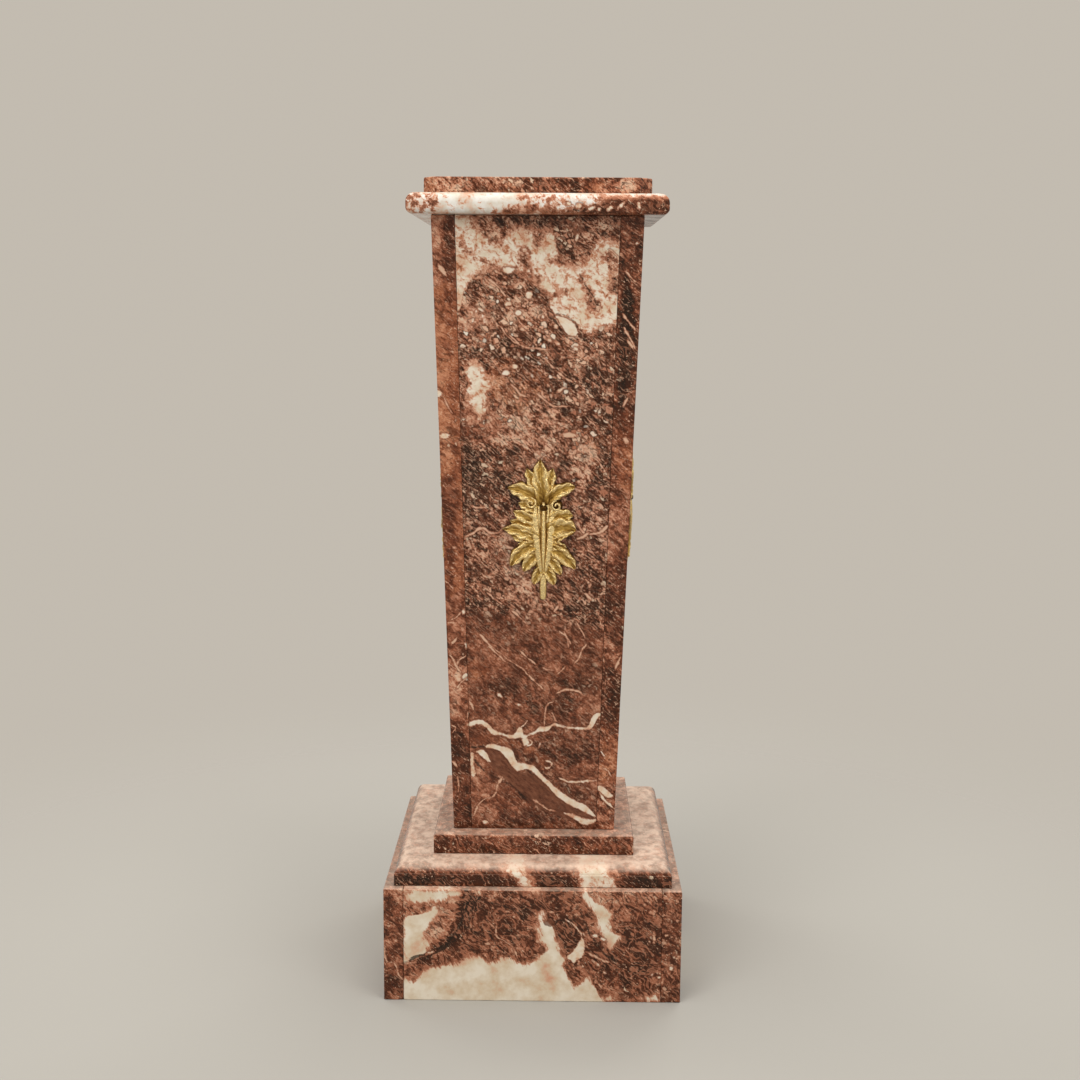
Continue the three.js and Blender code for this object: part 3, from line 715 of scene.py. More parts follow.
# %% [markdown]
# ## Stones with eased edges
# A mason never leaves a sharp edge on marble, because it chips. Every slab here is a stack of
# outlines: a polygon whose corners are rounded, drawn in and lifted step by step along a profile.
# A box with a Bevel modifier would do for one slab, but not for the tapered posts or the moulding,
# so one surface function serves them all. Its edge also wears in places, by less than half a
# millimetre, which breaks the highlight along it.

# %% The stone surface
ARC = np.linspace(0.0, math.pi / 2, 6)
ALONG = np.r_[0.004, np.linspace(0.03, 0.97, 33), 0.996]
WORN = 0.0005
LOOP_GAP = 0.8


def wear(points, amount):
    """Smooth bumps that only take stone away: a sum of three sine waves, kept where it is high."""
    x, y, z = (points / MM).T
    waves = np.sin(x * 0.31 + y * 0.17) + np.sin(y * 0.37 - z * 0.23) + np.sin(z * 0.41 + x * 0.19)
    return amount * np.clip(waves / 3 - 0.1, 0.0, None)


def stone_mesh(name, corners, insets, rounds, levels, eased):
    """Outline by outline: each corner is drawn in by the inset and rounded by a circular arc, and
    straight runs join the arcs. Corners has one polygon per level. Lengths are in millimetres."""
    before = corners - np.roll(corners, 1, axis=1)
    after = np.roll(corners, -1, axis=1) - corners
    first, second = (np.stack([edge[..., 1], -edge[..., 0]], -1) / np.linalg.norm(edge, axis=-1)[..., None]
                     for edge in (before, after))
    middle = (first + second) / (1 + np.sum(first * second, -1))[..., None]
    centres = corners - (insets + rounds)[:, None, None] * middle
    share = (ARC / ARC[-1])[None, None, :, None]
    swing = first[:, :, None] * (1 - share) + second[:, :, None] * share
    swing = swing / np.linalg.norm(swing, axis=-1)[..., None]
    arcs = centres[:, :, None] + rounds[:, None, None, None] * swing
    run = ALONG[None, None, :, None]
    runs = arcs[:, :, -1:] * (1 - run) + np.roll(arcs, -1, axis=1)[:, :, :1] * run
    ring = np.concatenate([arcs, runs], axis=2).reshape(len(levels), -1, 2)
    count, size = ring.shape[:2]
    height = np.broadcast_to(levels[:, None, None], (count, size, 1))
    skin = np.concatenate([ring, height], axis=2)
    at_corner = np.tile(np.r_[np.ones(len(ARC)), np.zeros(len(ALONG))], corners.shape[1])
    weight = np.maximum(eased[:, None], at_corner[None, :]).ravel()
    flat = skin.reshape(-1, 3) * MM
    heart = np.array([*corners.mean(axis=(0, 1)), levels.mean()]) * MM
    pull = heart - flat
    pull /= np.linalg.norm(pull, axis=1)[:, None]
    flat = flat + pull * (wear(flat, WORN) * weight)[:, None]
    caps = [[*corners[j].mean(axis=0) * MM, levels[j] * MM] for j in (0, -1)]
    return close_rings(name, np.vstack([flat, caps]), count, size)


def close_rings(name, points, count, size):
    """Quads between neighbouring rings, and a fan from the middle of each end."""
    low = np.arange((count - 1) * size).reshape(count - 1, size)
    side = np.roll(low, -1, axis=1)
    quads = np.stack([low, side, side + size, low + size], -1).reshape(-1, 4)
    ring = np.arange(size)
    last = (count - 1) * size
    foot = np.stack([np.roll(ring, -1), ring, np.full(size, count * size)], -1)
    head = np.stack([last + ring, last + np.roll(ring, -1), np.full(size, count * size + 1)], -1)
    mesh = bpy.data.meshes.new(name)
    mesh.from_pydata(points.tolist(), [], quads.tolist() + foot.tolist() + head.tolist())
    mesh.shade_smooth()
    return mesh


def eased_profile(height, round_up, round_down=None, steps=2):
    """Insets and levels from the under side, round the lower edge, up the face and over the top.
    Each rounding is a quarter circle, with a loop close beside it that keeps the flat faces flat."""
    down = round_up if round_down is None else round_down
    face = np.linspace(down + LOOP_GAP, height - round_up - LOOP_GAP, steps)
    inset = np.r_[down + LOOP_GAP, down * (1 - np.sin(ARC)), np.zeros(steps),
                  round_up * (1 - np.cos(ARC)), round_up + LOOP_GAP]
    level = np.r_[0, down * (1 - np.cos(ARC)), face, height - round_up * (1 - np.sin(ARC)), height]
    eased = np.r_[0, np.ones(len(ARC)), np.zeros(steps), np.ones(len(ARC)), 0]
    return inset, level, eased


print("a rounded edge of 2 mm as insets:", np.round(2 * (1 - np.cos(ARC)), 2).tolist())


# %% [markdown]
# A finished mesh becomes a piece: it gets its finish, rides on the stand, and takes the place of
# its CAD node. A stone may also have two finishes, one for its faces to the left and right and
# one for the others, because a single flat drawing would smear along the faces it runs into.

# %% Pieces and slabs
SIDEWAYS = 0.7
SLAB_ARRIS = 0.9


def piece(name, mesh, material, *replaced, slot="brown_marble"):
    """Puts a mesh into the scene with its finish, riding on the stand in place of the CAD nodes."""
    stone = bpy.data.objects.new(name, mesh)
    for finish in material if isinstance(material, list) else [material]:
        mesh.materials.append(finish)
    bpy.context.scene.collection.objects.link(stone)
    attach(stone, "root")
    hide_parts(*replaced)
    print(name, "has", len(mesh.polygons), "faces")
    return stone


def sides_apart(mesh):
    """Faces that look left or right take the second finish, and the others the first."""
    normals = np.empty(len(mesh.polygons) * 3)
    mesh.polygons.foreach_get("normal", normals)
    mesh.polygons.foreach_set("material_index", (np.abs(normals[0::3]) > SIDEWAYS).astype(np.int32))


def slab(name, material, node, slot="brown_marble"):
    """A rectangular slab that fills a CAD node's box."""
    low, high = (np.array(corner_point) / MM for corner_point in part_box(node))
    plan = np.array([[low[0], low[1]], [high[0], low[1]], [high[0], high[1]], [low[0], high[1]]])
    inset, level, eased = eased_profile(high[2] - low[2], SLAB_ARRIS, steps=4)
    corners = np.repeat(plan[None], len(level), axis=0)
    mesh = stone_mesh(name, corners, inset, np.full(len(level), SLAB_ARRIS), level + low[2], eased)
    return piece(name, mesh, material, node, slot=slot)


print("slabs fill their CAD boxes, and wear takes up to", WORN / MM, "mm")


# %% [markdown]
# ## The hollow base
# Four slabs stand on edge round four corner blocks. The front slab, set between the two side
# slabs, carries the boldest drawing on the stand: a cream crescent that fills its lower half, a
# black seam that climbs to the right, and two cream tongues. All of it is drawn in millimetres
# from the middle of the face and from the floor.

# %% Front slab of the base
# The salmon bands that reach up to 150 mm, past the top of the slab, are a painted highlight along its top edge; the
# other salmon is the stone's own.
front_slab_drawing = dict(
    salmon=[
        lying((-160, 122, 150), (-130, 122, 148), (-105, 124, 146), (-88, 128, 144), (-80, 138, 142)),
        lying((-128, 78, 118), (-115, 72, 120), (-104, 78, 118), (-96, 96, 112), (-92, 104, 106)),
        lying((58, 134, 150), (80, 128, 150), (100, 126, 150), (130, 128, 150), (158, 128, 150)),
        lying((104, 104, 112), (125, 105, 116), (145, 104, 116), (158, 104, 114)),
        *spots((92, 19, 22, 20), (75, 96, 14, 10), (103, 100, 12, 24))],
    umber=[
        standing((60, -150, -120), (75, -125, -90), (92, -102, -62), (110, -96, -72), (130, -90, -60),
            (143, -86, -50)), lying((100, 40, 100), (120, 20, 102), (158, 15, 104)),
        *spots((44, 84, 30, 50, 8), (-28, 90, 12, 30, 20), (-6, 118, 16, 26))],
    clear=[
        lying((-160, -5, 26), (-150, -5, 24), (-140, -5, 30), (-125, -5, 41), (-105, -5, 46), (-90, -5, 49),
            (-79, -5, 56), (-68, -5, 58), (-58, -5, 52), (-45, -5, 50), (-32, -5, 57), (-20, -5, 50), (-6, -5, 49),
            (2, -5, 53), (10, -5, 58), (22, -5, 66), (32, -5, 52), (40, -5, 42), (46, -5, 28), (55, -5, 20),
            (62, -5, 26), (68, -5, 31), (74, -5, 26), (81, -5, 12), (90, -5, 3), (100, -5, -4)),
        standing((55, 6, 40), (62, 14, 37), (70, 17, 34), (80, 9, 30), (90, 8, 28), (98, 7, 24), (106, 9, 14),
            (116, 10, 13)),
        standing((70, 95, 97), (76, 91, 102), (84, 87, 108), (92, 83, 98), (102, 80, 95), (112, 79, 96),
            (120, 74, 92), (128, 68, 80), (136, 63, 72), (142, 62, 66)),
        standing((50, -160, -152), (58, -160, -136), (70, -160, -128), (84, -160, -133), (96, -160, -126),
            (106, -156, -122), (114, -132, -116), (120, -124, -120)),
        lying((-150, 130, 140), (-138, 126, 143), (-125, 128, 142), (-112, 129, 144), (-100, 134, 143),
            (-92, 136, 142)), *spots((-66, 141, 6, 3), (3, 143, 10, 4), (96, 5, 10, 6, 30), (147, 5, 18, 7))],
    shade=[
        standing((58, -138, -124), (70, -122, -100), (86, -104, -84), (104, -96, -78), (124, -90, -70),
            (143, -82, -60)), *spots((-148, 53, 12, 6), (-10, 118, 8, 14), (-24, 84, 4, 12))],
    soot=[
        standing((51, -152, -148), (56, -150, -138), (60, -134, -120), (66, -121, -108), (73, -109, -101),
            (80, -103, -98)),
        *veins((3.4, (-100, 80), (-92, 92), (-86, 104), (-84, 116), (-77, 130), (-70, 143)), (2, (-78, 112),
            (-72, 124), (-62, 138)), (2, (-84, 96), (-74, 92), (-66, 84)), (2.6, (-60, 128), (-40, 124), (-20, 116),
            (-8, 104)), (2.6, (26, 100), (34, 106), (46, 106), (58, 98), (66, 84)), (2.4, (-56, 96), (-46, 76),
            (-34, 64), (-26, 54)), (2.6, (58, 120), (64, 104), (74, 84), (86, 66), (104, 50)), (1.4, (-66, 100),
            (-60, 86), (-64, 76)), (1.4, (42, 62), (50, 50), (56, 42)))],
    over=[*spots((12, 66, 9, 9, 20), (47, 36, 6, 10), (20, 102, 14, 10))],
    white=[
        standing((54, 48, 55), (58, 43, 61), (63, 47, 63), (69, 53, 64), (75, 56, 64.5), (81, 59, 63), (85, 60, 61)),
        vein(1.8, (40, 108), (48, 102), (56, 93), (62, 85)),
        *spots((77, 86, 8, 5, -15), (86, 81, 8, 4, -25), (79, 50, 9, 2.4, -42), (89, 38, 4, 3, -30),
            (148, 36, 3.4, 3, 30), (157, 33, 4, 3), (64, 88, 5, 1.8, -60), (-125, 62, 8, 2, 25),
            (-150, 48.5, 9, 1.6, 5))],
    blush=[
        vein(1.5, (-44, 98), (-44, 86), (-34, 78), (-24, 70), (-18, 56)), vein(1.5, (68, 64), (84, 56), (96, 52)),
        *spots((-56, 74, 6, 2.4), (23, 116, 6, 3), (150, 84, 3, 12))])
base_bands = [0, 48.3, 95, 143.3]
front_slab_marble = banded_marble("marble_base_front", base_bands, 18.0, seed=3, tone=0.028, contrast=3.6,
                                  streaks=0.8, broken=0.1, swirls=1.4, wander=2.4, **front_slab_drawing)
lay_in_bands(slab("base_front_stone", front_slab_marble, "base_front_slab", slot="red_marble").data, base_bands)


# %% [markdown]
# The side slabs run through to the front, so each shows its sawn end there, a strip as wide as the
# slab is thick. Strip and long face need two drawings, so a side slab gets two finishes over the
# same ground, and its faces are sorted by the way they look.

# %% Side slabs of the base
base_half = 183.0
front_skin = (-1, base_half, 0.0)
left_slab_ground = dict(seed=11, tone=0.01, streaks=0.5, broken=0.2, swirls=0.7)
right_slab_ground = dict(seed=17, tone=0.01, streaks=0.5, broken=0.35, swirls=0.8)
# On the side slabs the pink and salmon bands that reach up to 150 mm are a painted highlight along the top edge.
left_slab_end = marble(
    "marble_base_left", wander=2.0, skin=front_skin, **left_slab_ground,
    umber=[lying((-176, 10, 36), (-160, 8, 34))],
    pink=[lying((-190, 136, 150), (-160, 136, 150))],
    blush=[vein(1.8, (-182, 74), (-181.5, 58), (-179, 50), (-170, 47), (-167, 41), (-165, 33), (-159, 26))])
left_slab_face = marble(
    "marble_base_left_side", wander=5.0, drawn_across="Y", **left_slab_ground,
    clear=[
        lying((-70, -5, -4), (-40, -5, 12), (0, -5, 30), (36, -5, 44), (70, -5, 38), (104, -5, 50), (140, -5, 42),
            (190, -5, 34)), standing((44, 92, 118), (58, 90, 110), (72, 94, 106), (86, 96, 102)),
        standing((96, -128, -118), (108, -136, -112), (122, -140, -116), (136, -136, -124))],
    umber=[lying((-80, 50, 90), (-30, 56, 110), (20, 60, 100), (60, 70, 96)), spot(150, 90, 30, 60)],
    salmon=[
        lying((-190, 124, 150), (-120, 120, 150), (-60, 130, 150)), spot(0, 118, 60, 24, -10),
        spot(-140, 40, 60, 50)],
    white=[
        vein(3.0, (-176, 30), (-150, 44), (-124, 48), (-96, 62)), spot(30, 88, 10, 5, -30), spot(44, 78, 7, 4, -20)],
    blush=[vein(2.2, (-30, 128), (-6, 108), (10, 100), (26, 84)), vein(2.0, (60, 130), (90, 118), (120, 116))],
    soot=[vein(3.4, (-70, 22), (-40, 38), (0, 52), (30, 60), (50, 72))])
right_slab_end = marble(
    "marble_base_right", wander=2.0, skin=front_skin, **right_slab_ground,
    salmon=[lying((158, 134, 150), (190, 126, 150)), spot(172, 112, 18, 12)],
    white=[spot(171, 44, 4, 5), spot(165, 88, 4, 3)])
right_slab_face = marble(
    "marble_base_right_side", wander=5.0, drawn_across="Y", **right_slab_ground,
    clear=[
        lying((-130, -5, -4), (-110, -5, 12), (-86, -5, 30), (-60, -5, 40), (-36, -5, 34), (-6, -5, 46),
            (20, -5, 30), (44, -5, 12), (60, -5, -4)),
        standing((62, 84, 92), (76, 80, 104), (90, 84, 114), (104, 94, 118), (120, 104, 118), (136, 110, 116))],
    umber=[lying((-70, 60, 96), (-20, 64, 112), (30, 56, 104)), spot(150, 50, 40, 70), spot(-150, 80, 30, 40)],
    salmon=[lying((-190, 128, 150), (-100, 122, 150), (-30, 130, 150)), spot(60, 112, 50, 24), spot(110, 30, 50, 30)],
    white=[
        spot(40, 76, 10, 5, -25), spot(58, 64, 7, 4, -30), vein(3.0, (-160, 112), (-124, 98), (-92, 94), (-60, 80))],
    blush=[vein(2.2, (-20, 124), (4, 106), (26, 100), (50, 86)), vein(2.2, (118, 70), (140, 50), (172, 40))],
    soot=[vein(3.4, (-176, 40), (-150, 50), (-124, 62), (-90, 70), (-70, 84))])
sides_apart(slab("base_left_stone", [left_slab_end, left_slab_face], "base_left_slab").data)
sides_apart(slab("base_right_stone", [right_slab_end, right_slab_face], "base_right_slab").data)


# %% [markdown]
# The back slab stands between the side slabs, as the front one does, and gets the same kinds of
# features in another arrangement.

# %% Back slab of the base
# Its salmon band that reaches up to 150 mm is a painted highlight along the top edge.
back_slab_marble = marble(
    "marble_base_back", "X", 23, tone=0.015, broken=0.3, swirls=0.9, streaks=0.5, wander=6.0, stained=0.5,
    frayed=40.0,
    clear=[
        lying((-165, -5, 46), (-140, -5, 56), (-110, -5, 42), (-84, -5, 28), (-60, -5, 36), (-34, -5, 20),
            (-16, -5, 6), (0, -5, -4)),
        standing((52, -152, -116), (66, -140, -106), (82, -128, -98), (98, -116, -94), (112, -106, -96)),
        standing((80, 42, 50), (96, 34, 62), (112, 40, 70), (126, 50, 74), (143, 58, 70))],
    cream=[lying((58, 10, 22), (84, 4, 40), (110, 8, 52), (140, 18, 54), (165, 22, 42))],
    holes=[spot(104, 28, 18, 10, 20), spot(140, 36, 12, 8)],
    umber=[
        lying((-90, 40, 70), (-40, 40, 90), (0, 20, 100), (30, 30, 80)), spot(120, 100, 40, 50),
        spot(-60, 120, 50, 30)],
    salmon=[
        lying((-165, 122, 150), (-100, 120, 150), (-40, 130, 150)), spot(16, 110, 30, 40, -20),
        spot(90, 70, 40, 20, 10)],
    white=[
        spot(14, 96, 10, 5, -35), spot(24, 82, 7, 4, -30), vein(2.8, (100, 132), (112, 108), (130, 90), (150, 84))],
    soot=[
        vein(3.2, (-150, 60), (-110, 66), (-84, 80), (-62, 100), (-50, 130)),
        vein(2.4, (60, 58), (84, 60), (112, 72))],
    blush=[vein(2.2, (-60, 110), (-30, 96), (-10, 74), (8, 54)), vein(2.0, (76, 132), (92, 110), (100, 84))])
slab("base_back_stone", back_slab_marble, "base_back_slab", slot="red_marble")


# %% [markdown]
# ## Moulding, step, cornice and top
# These four tiers are square slabs whose edge follows a profile. The moulding has an upright
# fillet and a quarter of an ellipse above it, the step is plain with a rounded upper edge, and the
# cornice has a full round above and a smaller one below. The top slab has canted corners.

# %% Square tiers
FOOT_ARRIS = 0.9
FINE_ARRIS = np.array([[0, -1.2], [0, -0.5], [0.25, -0.1], [0.6, 0.15]])  # inset, height over the fillet
MOULD_STEPS = 14


def square(half):
    """Corners of a square, anticlockwise from the front left."""
    return np.array([[-half, -half], [half, -half], [half, half], [-half, half]])


def tier(name, material, node, profile, corner, slot="brown_marble"):
    """A square slab: its half-width is drawn in along the profile of insets and levels."""
    low, high = (np.array(point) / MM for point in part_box(node))
    inset, level, eased = profile
    corners = np.repeat(square(high[0])[None], len(level), axis=0)
    mesh = stone_mesh(name, corners, inset, np.full(len(level), corner), level + low[2], eased)
    return piece(name, mesh, material, node, slot=slot)


def moulding_profile(fillet, rise, reach_in, start):
    """Up the fillet, over a fine arris, and along an ellipse that ends level with the top."""
    angle = np.linspace(start, math.pi / 2, MOULD_STEPS)[1:]
    reach, lift = reach_in / math.cos(start), rise / (1 - math.sin(start))
    arris_in, arris_up = FINE_ARRIS.T
    inset = np.r_[FOOT_ARRIS + LOOP_GAP, FOOT_ARRIS * (1 - np.sin(ARC)), 0, arris_in,
                  reach_in - reach * np.cos(angle), reach_in + 1]
    level = np.r_[0, FOOT_ARRIS * (1 - np.cos(ARC)), 2 * FOOT_ARRIS, fillet + arris_up,
                  fillet + rise - lift * (1 - np.sin(angle)), fillet + rise]
    eased = np.r_[0, np.ones(len(ARC)), 0, 0, np.ones(len(FINE_ARRIS) - 1), np.zeros(MOULD_STEPS)]
    return inset, level, eased


print("the moulding's ellipse has", MOULD_STEPS, "steps")


# %% [markdown]
# Every tier comes from a block of its own, so each gets its own seed and its own drawing. The
# moulding has two cream bands that run up over its curve, the step is the darkest stone, and the
# cornice is cream with brown holes and turns brown to the right.

# %% Finishes of moulding and step
# The moulding's high bloom paints its curve and top paler: part dust, part painted sheen.
moulding_marble = marble(
    "marble_moulding", "X", 29, tone=-0.03, contrast=2.3, streaks=0.5, broken=0.1, swirls=0.9, wander=3.0, bloom=0.62,
    shade=[
        lying((-175, 138, 158), (-60, 138, 158), (-24, 138, 157)), lying((12, 138, 158), (50, 138, 157)),
        lying((108, 138, 157), (175, 138, 157))],
    salmon=[
        standing((136, 48, 112), (158, 46, 110), (180, 40, 104)),
        standing((136, -30, 10), (160, -40, 4), (180, -48, 0))],
    cream=[
        standing((136, -12, 0), (150, -16, -2), (158, -24, -6), (166, -32, -10), (180, -36, -12)),
        standing((136, 62, 98), (150, 60, 100), (160, 58, 94), (180, 54, 88))],
    umber=[spot(76, 148, 10, 10), spot(90, 156, 12, 6)])
# The pink band across the step's top, 192 to 200 mm, is a painted highlight on its rounded upper edge and top face.
step_marble = marble(
    "marble_step", "X", 31, tone=-0.085, streaks=0.6, broken=0.4, swirls=0.6, wander=2.0,
    pink=[lying((-140, 192, 200), (140, 192, 200))])

# %% Finish of the cornice
# The rust band along the whole lower round, 950 to 959.5 mm, is painted shade on the round that faces down; the two
# rust spots are stains.
cornice_marble = marble(
    "marble_cornice", "X", 37, bloom=0.15, tone=0.04, streaks=0.5, broken=0.15, swirls=0.6, wander=1.6, stained=0.1,
    frayed=18.0, pale=((0.60, 0.525, 0.425), (0.70, 0.665, 0.60)),
    cream=[
        lying((-170, 940, 992), (-44, 940, 992), (-20, 940, 992), (20, 942, 992), (40, 952, 992), (56, 962, 992),
            (72, 971, 992), (90, 977, 992), (170, 979, 992))],
    holes=[
        *spots((-153, 968, 7, 18, -10), (-143, 968, 8, 18, -12), (-133, 966, 7, 15, -8), (-122, 968, 8, 18, -8),
            (-34, 959, 30, 11, 8), (-8, 964, 16, 16), (14, 960, 26, 16, 20), (14, 974, 22, 6, -8), (38, 958, 24, 11),
            (-16, 975, 7, 4), (34, 970, 8, 7), (56, 962, 18, 14), (76, 976, 18, 5))],
    rust=[spot(-76, 969, 14, 12), spot(-110, 968, 10, 9), lying((-170, 950, 959.5), (170, 950, 959.5))],
    salmon=[lying((-170, 950, 960), (-40, 950, 960)), spot(104, 975, 60, 8)],
    umber=[lying((60, 952, 974), (170, 952, 976))],
    white=[
        *spots((97, 966.5, 10, 3.6, 45), (84, 963, 7, 4, 40), (62, 963, 9, 4, 20), (72, 962, 5, 3),
            (118, 966, 3.5, 8, 10), (48, 966, 7, 5, 30), (36, 968, 5, 4))],
    soot=[*spots((45, 961, 10, 2.6), (57, 961, 8, 3), (66, 967, 5, 2.4), (80, 958, 9, 3), (90, 972, 10, 2))])

# %% Finish of the top slab
top_marble = marble(
    "marble_top", "X", 41, bloom=0.08, tone=0.08, contrast=4.0, streaks=0.9, broken=0.35, swirls=0.9, wander=2.0,
    rust=[standing((975, -140, -122), (1006, -140, -121)), spot(-32, 985, 14, 12), spot(66, 990, 18, 16)],
    pink=[*spots((103, 990, 20, 18), (-24, 992, 14, 12), (74, 986, 16, 12), (14, 992, 12, 10), (-92, 990, 26, 10))],
    umber=[
        standing((975, 116, 140), (1006, 116, 140)),
        *spots((-60, 985, 30, 16), (-2, 984, 26, 10), (44, 984, 14, 14))])


# %% [markdown]
# Each tier is built from its profile, a glue line lower than its place. The top slab takes an
# eight-sided plan in place of a square. A bevel of the CAD solids would be quicker, but would give
# every edge the same round.

# %% The four tiers
tier_height, top_height = 24.7, 18.5
moulding = moulding_profile(fillet=15.4, rise=9.8, reach_in=14, start=math.pi / 8)
tier("moulded_tier", moulding_marble, "base_moulding", moulding, 0.8)
tier("step_stone", step_marble, "plinth_step", eased_profile(tier_height, 3.0, 1.0, steps=3), 0.9)
tier("cornice_stone", cornice_marble, "cornice_slab", eased_profile(tier_height, 11.0, 7.0), 1.2, "cream_marble")


def canted(half, cant):
    """Corners of a square with its corners cut off, anticlockwise from the front left."""
    near, far = half - cant, half
    return np.array([[-near, -far], [near, -far], [far, -near], [far, near],
                     [near, far], [-near, far], [-far, near], [-far, -near]])


top_inset, top_level, top_eased = eased_profile(top_height, 1.8, 1.2, steps=3)
top_corners = np.repeat(canted(half=135, cant=14)[None], len(top_level), axis=0)
top_mesh = stone_mesh("top_stone", top_corners, top_inset, np.full(len(top_level), 0.8),
                      top_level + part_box("top_slab")[0][2] / MM, top_eased)
piece("top_stone", top_mesh, top_marble, "top_slab", slot="red_marble")


# %% [markdown]
# ## The tapered shaft
# Each face has a broad panel between two corner posts, and both widen towards the head. A post or
# a panel is a stone with one plan at the foot and another at the head, and all its outlines in
# between are blends of the two. The joints stay visible as dark hairlines, as they are on the real
# shaft, because every stone has its own eased edge.

# %% Plans of posts and panels
foot_half, head_half = 101.5, 126.5
post_at_foot, post_at_head = 22.5, 28.0
shaft_foot, shaft_head = 193.8, 956.2
panel_depth, glue_line = 20.0, 0.3
QUARTERS = [(1, 0), (0, 1), (-1, 0), (0, -1)]  # cosine and sine of each quarter turn


def post_plan(half, post):
    """Plan of the front left post, a square of the post's width in the corner of the shaft."""
    return np.array([[-half, -half], [post - half, -half], [post - half, post - half], [-half, post - half]])


def panel_plan(half, post):
    """Plan of the front panel, which fills the gap between two posts."""
    end = half - post - glue_line
    return np.array([[-end, -half], [end, -half], [end, panel_depth - half], [-end, panel_depth - half]])


def quarter_turned(plan, quarters):
    """The plan turned about the shaft's axis by so many quarter turns."""
    cosine, sine = QUARTERS[quarters]
    return plan @ np.array([[cosine, sine], [-sine, cosine]])


def shaft_stone(name, plan, quarters, material, node, slot, bands=None):
    """A stone from foot to head, its plan blended from the one to the other."""
    inset, level, eased = eased_profile(shaft_head - shaft_foot, 0.7, steps=42)
    share = (level / level[-1])[:, None, None]
    foot = quarter_turned(plan(foot_half, post_at_foot), quarters)
    head = quarter_turned(plan(head_half, post_at_head), quarters)
    corners = foot[None] * (1 - share) + head[None] * share
    mesh = stone_mesh(name, corners, inset, np.full(len(level), 0.75), level + shaft_foot, eased)
    if bands is not None:
        lay_in_bands(mesh, bands)
    return piece(name, mesh, material, node, slot=slot)


print("the shaft widens from", 2 * foot_half, "to", 2 * head_half, "mm")


# %% [markdown]
# The front panel carries the most drawing: a cream cloud with brown holes at its head, torn white
# veins near its foot, and pale threads between. One finish can't hold them all, so the panel is
# divided into bands of height, narrow where the drawing is dense.

